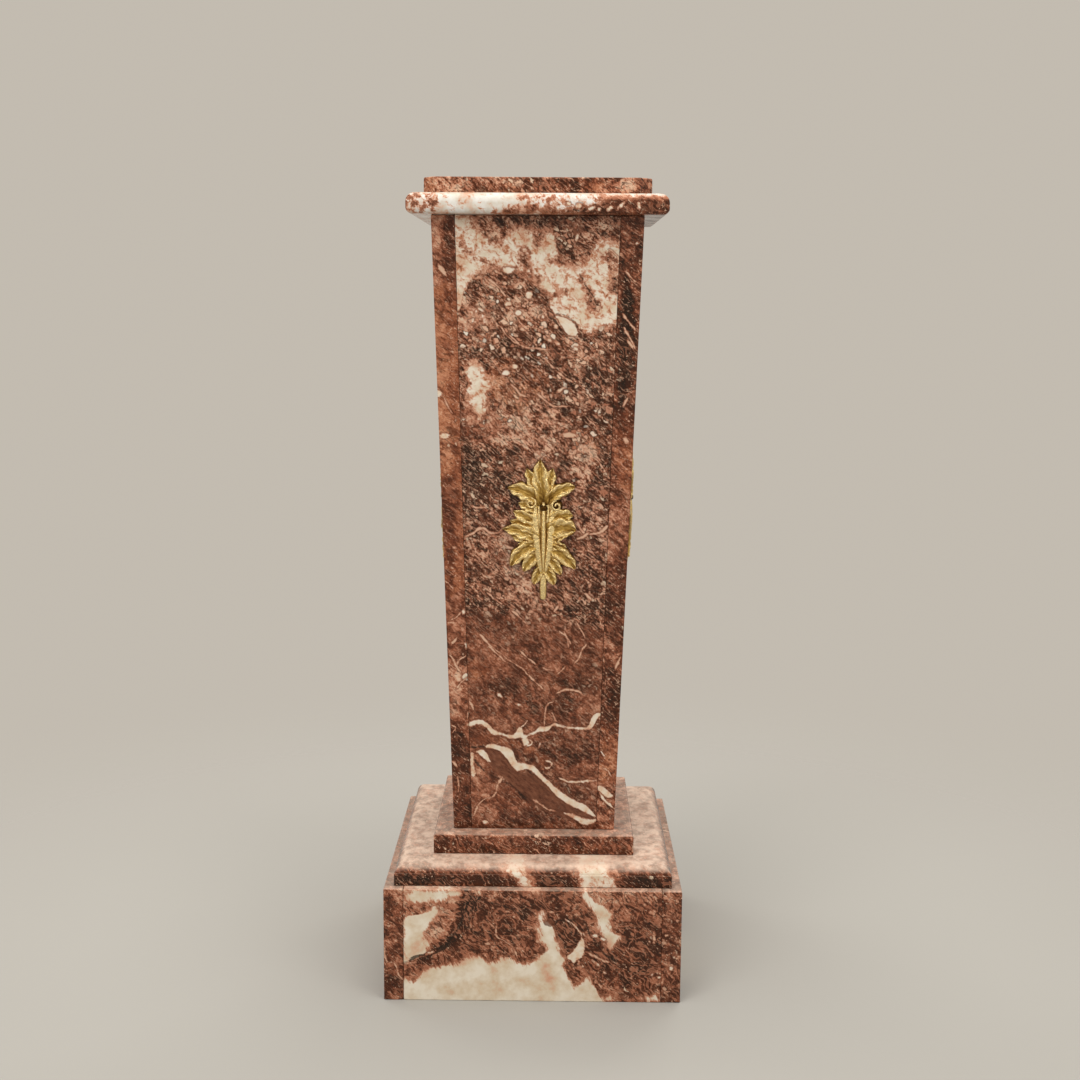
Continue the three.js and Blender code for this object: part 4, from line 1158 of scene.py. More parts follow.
# %% Front panel
front_panel_drawing = dict(
    specked=[
        lying((-100, 800, 862), (-60, 790, 880), (-20, 790, 882), (20, 780, 850), (50, 770, 820), (80, 790, 830)),
        *spots((-60, 712, 60, 60), (60, 700, 60, 60, -30), (30, 760, 90, 30, -30), (40, 930, 40, 26),
            (60, 620, 50, 50))],
    quiet=[lying((-110, 180, 480), (110, 180, 450)), lying((-110, 690, 735), (-60, 690, 725))],
    rust=[
        lying((-60, 740, 776), (-40, 735, 790), (-20, 722, 800), (-4, 742, 778)),
        lying((-80, 306, 326), (-60, 304, 320), (-40, 303, 314), (-10, 296, 306), (10, 280, 292), (20, 268, 276)),
        *spots((-75, 400, 30, 20), (75, 690, 30, 16), (60, 700, 18, 14))],
    over=[
        lying((-62, 284, 302), (-48, 268, 298), (-35, 258, 288), (-20, 244, 272), (0, 226, 266), (20, 216, 248),
            (40, 208, 232), (60, 205, 220), (78, 204, 214))],
    umber=[
        lying((-96, 790, 808), (-60, 776, 800), (-20, 756, 800), (20, 728, 780), (60, 700, 748), (96, 690, 720)),
        lying((-40, 942, 960), (0, 938, 960), (50, 932, 960), (70, 946, 960)),
        *spots((-80, 642, 40, 70), (-30, 672, 40, 30), (60, 722, 60, 30, -35), (-8, 792, 30, 30),
            (-40, 812, 26, 14, -20), (-68, 673, 26, 16), (-60, 500, 60, 90), (0, 712, 18, 14), (40, 920, 40, 22, 20),
            (40, 300, 70, 46), (-40, 378, 44, 26), (-70, 872, 16, 22, 35), (90, 878, 12, 26), (38, 358, 40, 26),
            (66, 760, 40, 20, -30), (-66, 652, 56, 60))],
    salmon=[
        lying((-60, 754, 764), (-45, 742, 753), (-30, 727, 739), (-18, 714, 721)),
        lying((-98, 924, 960), (-60, 926, 960), (-30, 934, 956)),
        standing((262, -82, -72), (276, -82, -66), (296, -82, -74)),
        lying((60, 346, 372), (70, 342, 372), (82, 346, 374)),
        *spots((60, 800, 70, 36, -30), (-30, 712, 60, 20), (-50, 850, 60, 30, -20), (-82, 835, 20, 14, -30),
            (-60, 686, 44, 14), (56, 662, 40, 40, -20), (52, 622, 34, 30), (85, 780, 22, 60), (-84, 735, 14, 60),
            (80, 940, 44, 30), (-62, 214, 30, 30), (2, 276, 14, 10), (-20, 838, 44, 40))],
    pink=[*spots((78, 600, 24, 14), (60, 650, 26, 16), (48, 680, 20, 10), (-76, 712, 18, 14))],
    cream=[
        lying((-99, 836, 962), (-92, 848, 958), (-86, 872, 954), (-76, 884, 950), (-62, 892, 930), (-45, 894, 922),
            (-30, 893, 940), (-15, 886, 942), (0, 876, 940), (12, 864, 942), (20, 842, 930), (30, 838, 903),
            (45, 830, 897), (60, 822, 903), (75, 826, 926), (88, 830, 926), (100, 834, 918)),
        standing((716, -70, -66), (730, -80, -62), (745, -84, -60), (758, -80, -56), (770, -86, -62),
            (782, -76, -70)), spot(-90, 832, 16, 7, -25), spot(-72, 838, 16, 6, -30)],
    holes=[
        *spots((-50, 944, 46, 16), (-15, 905, 14, 26), (40, 920, 34, 24, 20), (92, 880, 12, 34), (68, 852, 16, 14),
            (28, 866, 14, 8), (8, 942, 34, 14), (-88, 922, 8, 8), (-12, 886, 30, 10, -20), (86, 906, 24, 12, -30),
            (-60, 900, 40, 5, -25), (58, 872, 7, 34, 30), (12, 862, 14, 18), (0, 928, 14, 14), (30, 904, 26, 12))],
    white=[
        lying((22, 838, 839), (30, 827, 838), (40, 816, 833), (46, 815, 826), (49, 819, 820)),
        lying((-80, 328, 334), (-72, 331, 337), (-64, 329, 336), (-57, 322, 331), (-50, 317, 324), (-40, 317.5, 320),
            (-30, 313, 318), (-24, 313, 321), (-18, 314, 328), (-13, 312, 318), (-8, 317, 318)),
        lying((-10, 317, 318), (-4, 318, 321), (2, 320, 324), (8, 322, 329), (14, 322, 329), (19, 325, 330),
            (25, 330, 333.5), (32, 328, 331), (40, 327, 329), (50, 326.5, 328.5), (60, 325, 328), (67, 325, 331),
            (72, 328, 342), (75, 333, 345), (82, 343, 348)),
        lying((-60, 301, 304), (-54, 300, 306), (-45, 297, 303.5), (-36, 288, 302), (-28, 276, 297), (-20, 271, 281),
            (-10, 273, 280), (0, 267, 277), (10, 258, 265), (18, 250, 258), (25, 241, 251), (35, 233, 243),
            (45, 226, 236), (55, 221, 231), (65, 216, 226), (74, 211, 218), (79, 210, 211)),
        lying((38, 215, 216), (48, 209, 214), (56, 204, 211), (64, 200.5, 209), (72, 201, 207.5), (78, 204, 207)),
        lying((-72, 294, 296), (-67, 289, 298), (-61, 284, 295), (-57, 281, 287), (-55, 281, 282)),
        standing((266, -80, -74), (278, -80, -76), (292, -80, -76)),
        *spots((22, 280, 2.4, 5), (-11, 309, 8, 12, 20), (-44, 369, 8, 4, -40), (-20, 357, 7, 3, -20),
            (7, 305, 2, 6, -15), (-37, 771, 9, 7, 10), (-27, 778, 8, 5), (29, 751, 10, 3.5, 35), (7, 837, 4.5, 4),
            (15, 810, 6, 3.5, -15), (25, 806, 8, 3.4, -40), (47, 800, 6, 5), (-35, 853, 9, 5), (-22, 842, 8, 6),
            (-34, 892, 14, 8), (-10, 864, 8, 9), (47, 931, 4, 9, -20), (22, 826, 5, 5), (-68, 846, 8, 3, -30),
            (-62, 202, 8, 5)),
        *veins((2.6, (30, 262), (38, 259), (46, 256), (58, 256.5), (70, 258), (80, 258)), (3.0, (13, 284),
            (17, 283.5), (22, 281)), (2.4, (12, 277), (16, 275), (21, 277)), (2, (-6, 312), (-3, 307), (-10, 302)),
            (1.6, (22, 348), (25, 340), (28, 334)), (1.4, (-18, 326), (-12, 332), (-9, 337)))],
    blush=[
        spot(40, 696, 20, 6),
        *veins((1.5, (-70, 447), (-56, 434), (-42, 422), (-24, 409), (-14, 402), (-8, 395)), (0.9, (-8, 396),
            (2, 386), (10, 377)), (1.0, (-58, 432), (-46, 421), (-36, 413)), (0.9, (-18, 428), (-10, 418), (0, 409)),
            (1.4, (36, 452), (40, 442), (42, 430)), (1.3, (49, 411), (54, 417), (58, 428), (64, 436)),
            (1.3, (27, 397), (32, 401), (38, 406)), (1.4, (10, 405), (16, 402), (24, 402)), (2.0, (-76, 210),
            (-70, 226), (-60, 234), (-53, 236)), (1.7, (-53, 235), (-48, 242), (-46, 252), (-42, 260)),
            (1.5, (-2, 233), (8, 227), (18, 220), (28, 217)), (2.4, (26, 372), (34, 375), (44, 377), (54, 375),
            (60, 371)), (1.6, (12, 330), (13, 345), (16, 358), (24, 362)), (3.0, (-32, 757), (-26, 752), (-20, 745),
            (-11, 742)), (1.3, (-44, 826), (-38, 818), (-28, 808), (-18, 803), (0, 800), (14, 798)),
            (1.8, (-34, 816), (-28, 811), (-21, 805)), (1.3, (6, 790), (14, 784), (22, 776)), (1.2, (0, 746),
            (10, 738), (22, 731), (44, 731)), (1.2, (24, 772), (34, 765), (44, 760)), (2.8, (-88, 570), (-78, 574),
            (-66, 581), (-55, 575), (-44, 576)), (1.8, (-80, 609), (-70, 606), (-60, 606)), (4.0, (50, 568),
            (58, 571), (66, 577)), (3.4, (64, 574), (78, 577), (90, 586)), (2.8, (-38, 560), (-30, 556), (-22, 554)),
            (1.4, (70, 668), (76, 664), (82, 656)), (1.4, (24, 476), (30, 486)), (1.2, (60, 500), (70, 492)),
            (1.2, (-60, 500), (-50, 492), (-40, 486)), (1.0, (-30, 478), (-18, 468), (-10, 462)), (1.2, (30, 452),
            (38, 446), (44, 436)), (1.2, (52, 462), (58, 452), (62, 444)), (1.6, (88, 210), (90, 220)),
            (1.4, (-76, 350), (-82, 362)), (1.6, (-40, 262), (-46, 252)), (1.2, (-60, 882), (-46, 872), (-38, 862)),
            (1.2, (84, 918), (92, 912), (99, 904)))],
    shade=[
        *spots((-10, 785, 16, 12), (-36, 806, 14, 8), (0, 700, 10, 8), (44, 908, 10, 6), (30, 916, 8, 6),
            (10, 700, 8, 4), (-2, 356, 12, 30, 25), (-64, 674, 14, 10), (-76, 652, 34, 50), (-44, 640, 30, 20),
            (28, 668, 30, 14, -30), (-34, 866, 12, 8), (12, 934, 12, 6), (30, 950, 14, 8), (14, 752, 12, 5),
            (94, 890, 6, 14))],
    soot=[
        lying((-78, 299, 302), (-70, 300, 303), (-60, 300.5, 302)),
        *veins((1.2, (-50, 824), (-42, 816), (-30, 804), (-16, 798), (4, 796)), (2.2, (18, 836), (28, 824),
            (38, 812), (46, 808)), (1.6, (50, 890), (58, 876), (66, 862), (70, 854)), (1.4, (22, 842), (34, 840),
            (44, 832), (51, 822)), (1.4, (-80, 286), (-60, 268), (-30, 252), (0, 230)))])
panel_bands = [193.8, 290, 400, 600, 730, 800, 860, 956.2]
front_panel_marble = banded_marble("marble_front_panel", panel_bands, seed=5, contrast=6.0, tone=-0.005, broken=0.5,
                                   swirls=0.6, stained=0.66, streaks=1.7, wander=1.7, frayed=38.0,
                                   **front_panel_drawing)
shaft_stone("shaft_front_stone", panel_plan, 0, front_panel_marble, "shaft_front_panel", "red_marble", panel_bands)


# %% [markdown]
# The other three panels share one ground and the front's character: a cream cloud at the head, a
# torn vein near the foot, threads between. The cloud slopes another way on each. Their drawings
# are broader and wander more, so one finish is enough for each panel.

# %% Right panel
panel_ground = dict(tone=0.02, broken=0.4, swirls=0.6, streaks=1.1, contrast=4.2, wander=12.0,
                    stained=0.62, frayed=44.0)
right_panel_marble = marble(
    "marble_right_panel", "Y", 43, **panel_ground,
    quiet=[lying((-110, 180, 460), (110, 180, 430))],
    umber=[*spots((0, 760, 90, 80), (-40, 480, 70, 120), (40, 300, 60, 70))],
    salmon=[*spots((40, 640, 60, 60), (-30, 850, 120, 50, 20), (-50, 240, 50, 60))],
    specked=[spot(-20, 820, 120, 70, 20), spot(50, 620, 60, 80)],
    cream=[
        lying((-110, 876, 925), (-60, 860, 920), (-20, 880, 935), (20, 895, 965), (60, 915, 965), (110, 935, 965)),
        standing((556, 46, 54), (590, 34, 70), (620, 44, 74), (644, 58, 62))],
    holes=[
        *spots((-50, 900, 20, 10, 30), (-10, 916, 30, 9, 30), (40, 930, 26, 18), (80, 945, 16, 20),
            (52, 606, 8, 16))],
    white=[
        lying((-84, 358, 361), (-60, 354, 360), (-30, 358, 365), (0, 372, 378), (30, 382, 386), (60, 398, 405),
            (84, 410, 412)), vein(2.4, (-80, 262), (-40, 252), (0, 258), (40, 240), (76, 226))],
    blush=[
        *veins((1.6, (-90, 520), (-50, 502), (-10, 474), (20, 440)), (1.4, (10, 840), (40, 812), (80, 790)),
            (1.4, (-60, 690), (-20, 703), (20, 728), (60, 742)), (1.2, (-40, 330), (-10, 312), (26, 304)),
            (1.3, (20, 540), (50, 520), (72, 486)))])
shaft_stone("shaft_right_stone", panel_plan, 1, right_panel_marble, "shaft_right_panel", "red_marble")

# %% Back panel
back_panel_marble = marble(
    "marble_back_panel", "X", 53, **panel_ground,
    quiet=[lying((-110, 180, 440), (110, 180, 470))],
    umber=[*spots((30, 700, 80, 90), (-40, 560, 60, 80), (20, 330, 90, 60))],
    salmon=[*spots((-50, 760, 60, 60), (30, 840, 110, 60, -20), (50, 470, 50, 60))],
    specked=[spot(10, 830, 120, 70, -20), spot(-50, 640, 60, 80)],
    cream=[
        lying((-110, 905, 955), (-60, 905, 965), (-10, 890, 955), (30, 860, 925), (70, 830, 900), (110, 800, 875)),
        standing((598, -64, -52), (625, -80, -44), (650, -76, -36), (672, -58, -44))],
    holes=[
        *spots((-70, 930, 30, 14), (-14, 926, 18, 22), (34, 890, 26, 14, -30), (80, 862, 18, 20, -30),
            (-60, 636, 10, 16))],
    white=[
        lying((-84, 420, 423), (-50, 409, 417), (-20, 400, 410), (20, 382, 390), (50, 375, 382), (84, 352, 355)),
        vein(2.4, (-80, 300), (-40, 312), (0, 292), (40, 264), (78, 252))],
    blush=[
        *veins((1.6, (-60, 700), (-10, 728), (40, 760)), (1.4, (-40, 240), (0, 228), (50, 222)), (1.4, (-20, 520),
            (20, 544), (60, 540)), (1.2, (-60, 476), (-30, 460), (0, 450)))])
shaft_stone("shaft_back_stone", panel_plan, 2, back_panel_marble, "shaft_back_panel", "red_marble")

# %% Left panel
left_panel_marble = marble(
    "marble_left_panel", "Y", 47, **panel_ground,
    quiet=[lying((-110, 180, 430), (110, 180, 460))],
    umber=[*spots((-20, 800, 90, 70), (40, 520, 60, 120), (-30, 280, 80, 60))],
    salmon=[*spots((-40, 620, 60, 70), (30, 890, 110, 40, -20), (30, 380, 60, 40))],
    specked=[spot(20, 850, 110, 50, -20), spot(-40, 640, 70, 80)],
    cream=[
        lying((-110, 925, 965), (-50, 905, 965), (0, 885, 945), (40, 865, 925), (110, 850, 905)),
        lying((-78, 450, 456), (-50, 440, 462), (-20, 446, 468), (10, 460, 472), (30, 470, 474))],
    holes=[
        *spots((-60, 940, 34, 12, -10), (0, 915, 26, 16, -20), (50, 890, 24, 10, -30), (86, 880, 16, 16),
            (-30, 454, 14, 6))],
    white=[
        lying((-84, 232, 235), (-50, 240, 249), (-10, 262, 269), (30, 270, 280), (60, 290, 296), (84, 306, 309)),
        vein(2.2, (-90, 700), (-40, 690), (10, 664), (50, 650), (90, 622))],
    blush=[
        *veins((1.6, (-80, 560), (-30, 544), (10, 548), (60, 520)), (1.4, (-70, 332), (-10, 340), (50, 328)),
            (1.3, (-10, 400), (20, 410), (60, 436)), (1.3, (-60, 780), (-20, 770), (30, 740)))])
shaft_stone("shaft_left_stone", panel_plan, 3, left_panel_marble, "shaft_left_panel", "red_marble")


# %% [markdown]
# The posts are narrow, so their stone is plainer and redder, with short threads. A drawing on the
# front of a post would come out again at its side and back, where it would look like a slice, so
# its skin follows the leaning face and lets it sink in only a few millimetres.

# %% Front left post
taper = (head_half - foot_half) / (shaft_head - shaft_foot)
post_front, post_back = ((way, foot_half - taper * shaft_foot, taper) for way in (-1, 1))
left_post_marble = marble(
    "marble_left_post", "X", 59, tone=0.03, streaks=0.6, broken=0.1, swirls=0.5, wander=1.6, iron=0.45, calm=0.85,
    skin=post_front,
    umber=[
        standing((860, -112, -96), (950, -112, -98)), standing((180, -120, -70), (290, -120, -70), (310, -110, -84)),
        standing((500, -112, -100), (640, -116, -98))],
    salmon=[
        standing((700, -140, -106), (830, -140, -110)), standing((870, -140, -116), (962, -140, -116)),
        standing((340, -104, -92), (460, -108, -96))],
    rust=[
        standing((680, -140, -80), (760, -140, -80), (845, -140, -80)), standing((520, -134, -84), (640, -134, -86))],
    pink=[*spots((-110, 694, 22, 14), (-109, 668, 14, 36), (-92, 398, 16, 20))],
    white=[*spots((-119, 745, 10, 8), (-111, 694, 12, 7), (-89, 475, 4, 7), (-85, 433, 3.5, 8), (-86, 392, 9, 10))],
    blush=[
        spot(-100, 556, 4, 3),
        *veins((2.6, (-106, 421), (-101, 414), (-97, 405), (-92, 397)), (1.8, (-86, 419), (-94, 414), (-97, 405)),
            (2.2, (-84, 391), (-92, 385), (-99, 377)), (1.8, (-109, 410), (-102, 405), (-97, 402)),
            (1.6, (-112, 740), (-106, 728), (-101, 720)), (1.3, (-97, 262), (-95, 252), (-96, 242)),
            (1.2, (-104, 282), (-96, 274)), (1.4, (-112, 515), (-106, 510), (-101, 502)), (1.3, (-106, 464),
            (-98, 468), (-92, 474)), (1.4, (-118, 900), (-108, 884)), (1.2, (-82, 352), (-84, 338)),
            (1.0, (-105, 330), (-99, 326), (-102, 320)), (1.4, (-104, 432), (-96, 444)))])
shaft_stone("front_left_post_stone", post_plan, 0, left_post_marble, "shaft_front_left_post", "brown_marble")

# %% Front right post
right_post_marble = marble(
    "marble_right_post", "X", 61, tone=0.03, contrast=3.0, streaks=0.7, broken=0.2, swirls=0.5, wander=1.6,
    skin=post_front,
    shade=[standing((735, 98, 108), (800, 98, 116), (880, 100, 112))],
    chestnut=[standing((720, 90, 140), (962, 90, 140))],
    umber=[standing((455, 84, 124), (520, 86, 120)), standing((330, 78, 112), (390, 80, 112))],
    rust=[standing((640, 100, 128), (712, 96, 128)), standing((262, 82, 104), (300, 86, 108), (330, 84, 96))],
    salmon=[
        standing((284, 90, 104), (296, 90, 106), (312, 90, 104)),
        *spots((88, 322, 9, 7), (90, 270, 16, 16, -30), (110, 675, 14, 10), (111, 912, 5, 18), (92, 210, 12, 16))],
    white=[
        lying((82, 246, 252), (88, 240, 250), (95, 236, 244), (99, 238, 240)),
        vein(3.5, (83, 244), (90, 232), (100, 222)), vein(3, (84, 298), (88, 290)), spot(118, 925, 4, 3)],
    blush=[
        spot(108, 690, 5, 8, 30),
        *veins((2.6, (86, 276), (92, 272), (98, 264)), (1.5, (102, 842), (110, 832), (118, 822)), (1.3, (104, 826),
            (112, 812), (118, 800)), (1.3, (104, 892), (112, 884), (118, 880)), (1.4, (108, 812), (116, 800)),
            (1.6, (84, 448), (82, 430), (86, 412)), (1.2, (88, 372), (88, 390)), (1.4, (104, 730), (110, 742)),
            (1.2, (106, 420), (100, 402)))])
shaft_stone("front_right_post_stone", post_plan, 1, right_post_marble, "shaft_front_right_post", "brown_marble")

# %% Back posts
back_right_post_marble = marble(
    "marble_back_right_post", "X", 67, tone=0.01, streaks=0.9, broken=0.25, swirls=0.5, wander=2.0, skin=post_back,
    umber=[standing((560, 80, 132), (700, 84, 132))],
    salmon=[spot(100, 420, 20, 40), spot(112, 840, 18, 50)],
    blush=[vein(2, (84, 340), (94, 352), (106, 348)), vein(1.8, (96, 620), (104, 640), (116, 650))])
back_left_post_marble = marble(
    "marble_back_left_post", "X", 71, tone=0.02, streaks=0.9, broken=0.2, swirls=0.5, wander=2.0, skin=post_back,
    rust=[standing((600, -130, -90), (740, -130, -90))],
    salmon=[spot(-96, 300, 18, 40), spot(-112, 880, 18, 40)],
    blush=[vein(2, (-106, 480), (-96, 490), (-88, 500)), vein(1.8, (-122, 780), (-112, 770), (-102, 776))])
shaft_stone("back_right_post_stone", post_plan, 2, back_right_post_marble, "shaft_back_right_post", "brown_marble")
shaft_stone("back_left_post_stone", post_plan, 3, back_left_post_marble, "shaft_back_left_post", "brown_marble")


# %% [markdown]
# ## Inner parts
# Blocks, plates, rod and nuts hide inside the stand, and show only from below or where a top is
# lifted. They keep their CAD shapes. Sawn marble is duller and greyer than polished marble, and the
# steel has the faint ring marks of a lathe and a little brown bloom.

# %% Sawn stone and steel
STEEL, STEEL_BLOOM = (0.50, 0.50, 0.49), (0.26, 0.17, 0.11)


def sawn_stone():
    """Dull marble with the fine parallel marks of a saw."""
    recipe = Recipe("sawn_marble")
    colour = breccia_ground(recipe, "X", 83, tone=0.05, streaks=0.5, broken=0.3)[0]
    colour = recipe.mix(0.35, colour, PINK)
    recipe.feed(recipe.shader.inputs["Base Color"], colour)
    recipe.feed(recipe.shader.inputs["Roughness"], recipe.fade(recipe.cloud(8, 84), 0.3, 0.7, 0.55, 0.8))
    recipe.bump(recipe.cloud((60, 60, 0.8), 85, detail=2), 0.0002)
    return recipe.material


def turned_steel():
    """Bright steel with fine marks and a brown bloom where it has been handled."""
    recipe = Recipe("turned_steel")
    bloom = recipe.fade(recipe.cloud(6, 87, detail=6, rough=0.7), 0.5, 0.72)
    recipe.feed(recipe.shader.inputs["Base Color"], recipe.mix(bloom, STEEL, STEEL_BLOOM))
    recipe.feed(recipe.shader.inputs["Roughness"], recipe.fade(bloom, 0.0, 1.0, 0.32, 0.6))
    recipe.shader.inputs["Metallic"].default_value = 1.0
    recipe.bump(recipe.cloud((0.4, 0.4, 6), 88, detail=2), 0.00004)
    return recipe.material


sawn, steel = sawn_stone(), turned_steel()
for node_name, node in nodes.items():
    if node_name.endswith(("block", "foot_plate", "head_plate")):
        node.data.materials.clear()
        node.data.materials.append(sawn)
    elif node_name.endswith(("rod", "bearing_plate", "nut", "washer")):
        node.data.materials.clear()
        node.data.materials.append(steel)
print("inner parts finished:", sawn.name, steel.name)


# %% [markdown]
# ## The gilt castings
# Each face but the back carries a cast and chased acanthus leaf. A leaf is made of lobes that
# spring from a spine, and every lobe follows one law: its middle runs along a bent line, its width
# swells and comes to a point, its edge is toothed, and across it there are a broad valley with a
# fine rib in it, raised rims and oblique flutes. Modelling one law well and placing it nearly
# thirty times is how a carver works too, and it keeps the three castings alike.

# %% One lobe of the leaf
LOBE_T = np.sin(np.linspace(0.0, math.pi / 2, 38))
LOBE_S = np.sin(np.linspace(-math.pi / 2, math.pi / 2, 29))


def lobe_section(share, plain):
    """Height across a lobe: a dome, less a broad valley, plus a fine rib in it and a raised rim."""
    dome = np.sqrt(np.clip(1 - share ** 2, 0, 1)) ** 0.6
    if plain:
        return 0.25 + 0.75 * dome
    valley = 0.46 * np.exp(-((share / 0.34) ** 2))
    rib = 0.20 * np.exp(-((share / 0.07) ** 2))
    rim = 0.14 * np.exp(-(((np.abs(share) - 0.74) / 0.14) ** 2))
    return np.clip(0.22 + 0.78 * dome - valley + rib + rim, 0.1, 1.0)


def lobe_points(root, tip, bend=0.0, width=10.0, rise=6.0, flick=0.0, sharp=0.8, narrow=0.5,
                plain=False, teeth=0.0):
    """Along t the middle follows a bent line, across s the lobe spreads by its half-width. Returns
    the points of its top and of its flat back, and how high each stands in its own section."""
    root, tip = np.array(root, dtype=float), np.array(tip, dtype=float)
    along = tip - root
    middle = (root + tip) / 2 + bend * np.array([-along[1], along[0]])
    t = LOBE_T[:, None]
    spine = (1 - t) ** 2 * root + 2 * t * (1 - t) * middle + t ** 2 * tip
    tangent = 2 * (1 - t) * (middle - root) + 2 * t * (tip - middle)
    tangent /= np.linalg.norm(tangent, axis=1)[:, None]
    side = np.column_stack([-tangent[:, 1], tangent[:, 0]])
    swell = narrow + (1 - narrow) * np.sin(math.pi * np.minimum(LOBE_T, 0.5))
    taper = (1 - (np.clip(LOBE_T - 0.5, 0, 0.5) / 0.5) ** 2) ** sharp
    half = width / 2 * np.maximum(swell * taper, 0.05)
    phase = np.where(LOBE_S > 0, 0.0, 2.2)[None, :]
    bite = 1 - 1.5 * teeth * (0.5 + 0.5 * np.cos(6 * math.pi * t + phase)) * np.clip(6 * (t - 0.1), 0, 1)
    reach = half[:, None] * bite * LOBE_S[None, :]
    lift = rise * (0.62 + 0.38 * np.sin(math.pi * LOBE_T ** 0.8)) + flick * LOBE_T ** 3
    section = lobe_section(LOBE_S, plain)[None, :] * np.ones((len(LOBE_T), 1))
    flutes = np.cos(2 * math.pi * (4.0 * t - 1.5 * np.abs(LOBE_S)[None, :])) * np.abs(LOBE_S) ** 0.6
    ribbing = 0.13 * flutes * (not plain)
    height = lift[:, None] * np.clip(section + ribbing, 0.1, 1.0)
    xy = spine[:, None] + side[:, None] * reach[..., None]
    top = np.concatenate([xy, height[..., None]], -1)
    back = np.concatenate([xy[:, ::-1], np.zeros_like(height)[..., None]], -1)
    # Lower near the root and on the back, so the gilding comes out darker there: painted shade as well as dirt.
    depth = (section + ribbing) * (0.55 + 0.45 * np.clip(2.2 * t, 0, 1)) if not plain else section
    return np.concatenate([top, back], axis=1), np.concatenate([depth, 0.2 * np.ones_like(section)], axis=1)


def ring_faces(steps, size, start):
    """Quads between the closed sections of a lobe, and one polygon over each end."""
    low = np.arange((steps - 1) * size).reshape(steps - 1, size) + start
    side = np.roll(low, -1, axis=1)
    quads = np.stack([low, low + size, side + size, side], -1).reshape(-1, 4)
    return quads.tolist() + [(np.arange(size) + start).tolist(),
                             (np.arange(size)[::-1] + start + (steps - 1) * size).tolist()]


print("a lobe has", len(LOBE_T), "sections of", 2 * len(LOBE_S), "points")


# %% [markdown]
# The curled scroll on each side of the spine is a coil: a round wire that winds inwards as it
# rises, over a low boss. A bevelled curve could make the wire, but its end would not shrink.

# %% Scrolls
def scroll_points(x, y, hand):
    """A tube along a spiral: the radius shrinks and the height grows with the angle turned."""
    turned = np.linspace(0.0, 1.0, 44)
    angle = hand * (turned * 2.6 * math.pi) + math.pi / 2
    radius = 5.6 * (1 - turned) ** 0.8 + 0.9
    middle = np.column_stack([x + radius * np.cos(angle), y + radius * np.sin(angle), 4.6 + 2.2 * turned])
    wire = 1.65 * (1 - 0.25 * turned)
    round_it = np.linspace(0, 2 * math.pi, 12, endpoint=False)
    outward = np.column_stack([np.cos(angle), np.sin(angle), np.zeros_like(angle)])
    ring = outward[:, None] * np.cos(round_it)[None, :, None]
    ring = ring + np.array([0, 0, hand])[None, None] * np.sin(round_it)[None, :, None]
    points = middle[:, None] + ring * wire[:, None, None]
    return points, np.full(points.shape[:2], 0.95)


def boss_points(x, y, radius, height):
    """A low dome: rings that shrink as a quarter circle rises."""
    lift = np.linspace(0.0, math.pi / 2, 8)
    angle = np.linspace(0, 2 * math.pi, 28, endpoint=False)
    spread = np.r_[radius * 0.2, radius, radius * np.cos(lift[1:-1]) ** 0.6, 0.05 * radius]
    level = np.r_[0.0, 0.0, height * np.sin(lift[1:-1]), height]
    points = np.stack([x + spread[:, None] * np.cos(angle), y + spread[:, None] * np.sin(angle),
                       np.broadcast_to(level[:, None], (len(level), len(angle)))], -1)
    return points, np.full(points.shape[:2], 0.35)


print("a scroll has", scroll_points(0, 0, 1)[1].size, "points, a boss", boss_points(0, 0, 1, 1)[1].size)


# %% [markdown]
# A leaf is listed lobe by lobe, from root to tip, in millimetres from the middle of the casting.
# The two sides differ, as in a pattern modelled by hand, and a lobe with a larger rise lies over
# its neighbours.

# %% Lobes of the left side
left_lobes = [
    dict(root=[-1, 44], tip=[-21, 76], bend=0.10, width=19, rise=6.0, flick=1.0, sharp=0.8, teeth=0.16),
    dict(root=[-5, 22], tip=[-31, 32.5], bend=-0.12, width=19, rise=5.4, teeth=0.18),
    dict(root=[-3, 34], tip=[-44, 52], bend=-0.16, width=26, rise=7.2, flick=1.5, sharp=0.8, teeth=0.16),
    dict(root=[-4, 4], tip=[-37.5, 23], bend=-0.06, width=19, rise=5.6, sharp=0.8, teeth=0.18),
    dict(root=[-3, -6], tip=[-42, 11], bend=-0.12, width=20, rise=6.6, sharp=0.9, teeth=0.16),
    dict(root=[-3, -20], tip=[-39.5, -8], bend=-0.10, width=19, rise=5.4, teeth=0.16),
    dict(root=[-2, -16], tip=[-50.5, 1], bend=-0.20, width=24, rise=7.6, flick=1.2, sharp=0.9, teeth=0.16),
    dict(root=[-3, -24], tip=[-32, -19], bend=-0.08, width=18, rise=5.2, teeth=0.14),
    dict(root=[-1, -28], tip=[-24, -52], bend=-0.20, width=18, rise=5.8, flick=0.8, sharp=0.6, teeth=0.06),
    dict(root=[-2, -16], tip=[-40, -45], bend=-0.24, width=22, rise=7.4, flick=1.5, sharp=0.6, teeth=0.12),
    dict(root=[0, -44], tip=[-11.5, -68], bend=-0.08, width=14, rise=5.4, sharp=0.5),
]
print("left lobes", len(left_lobes))

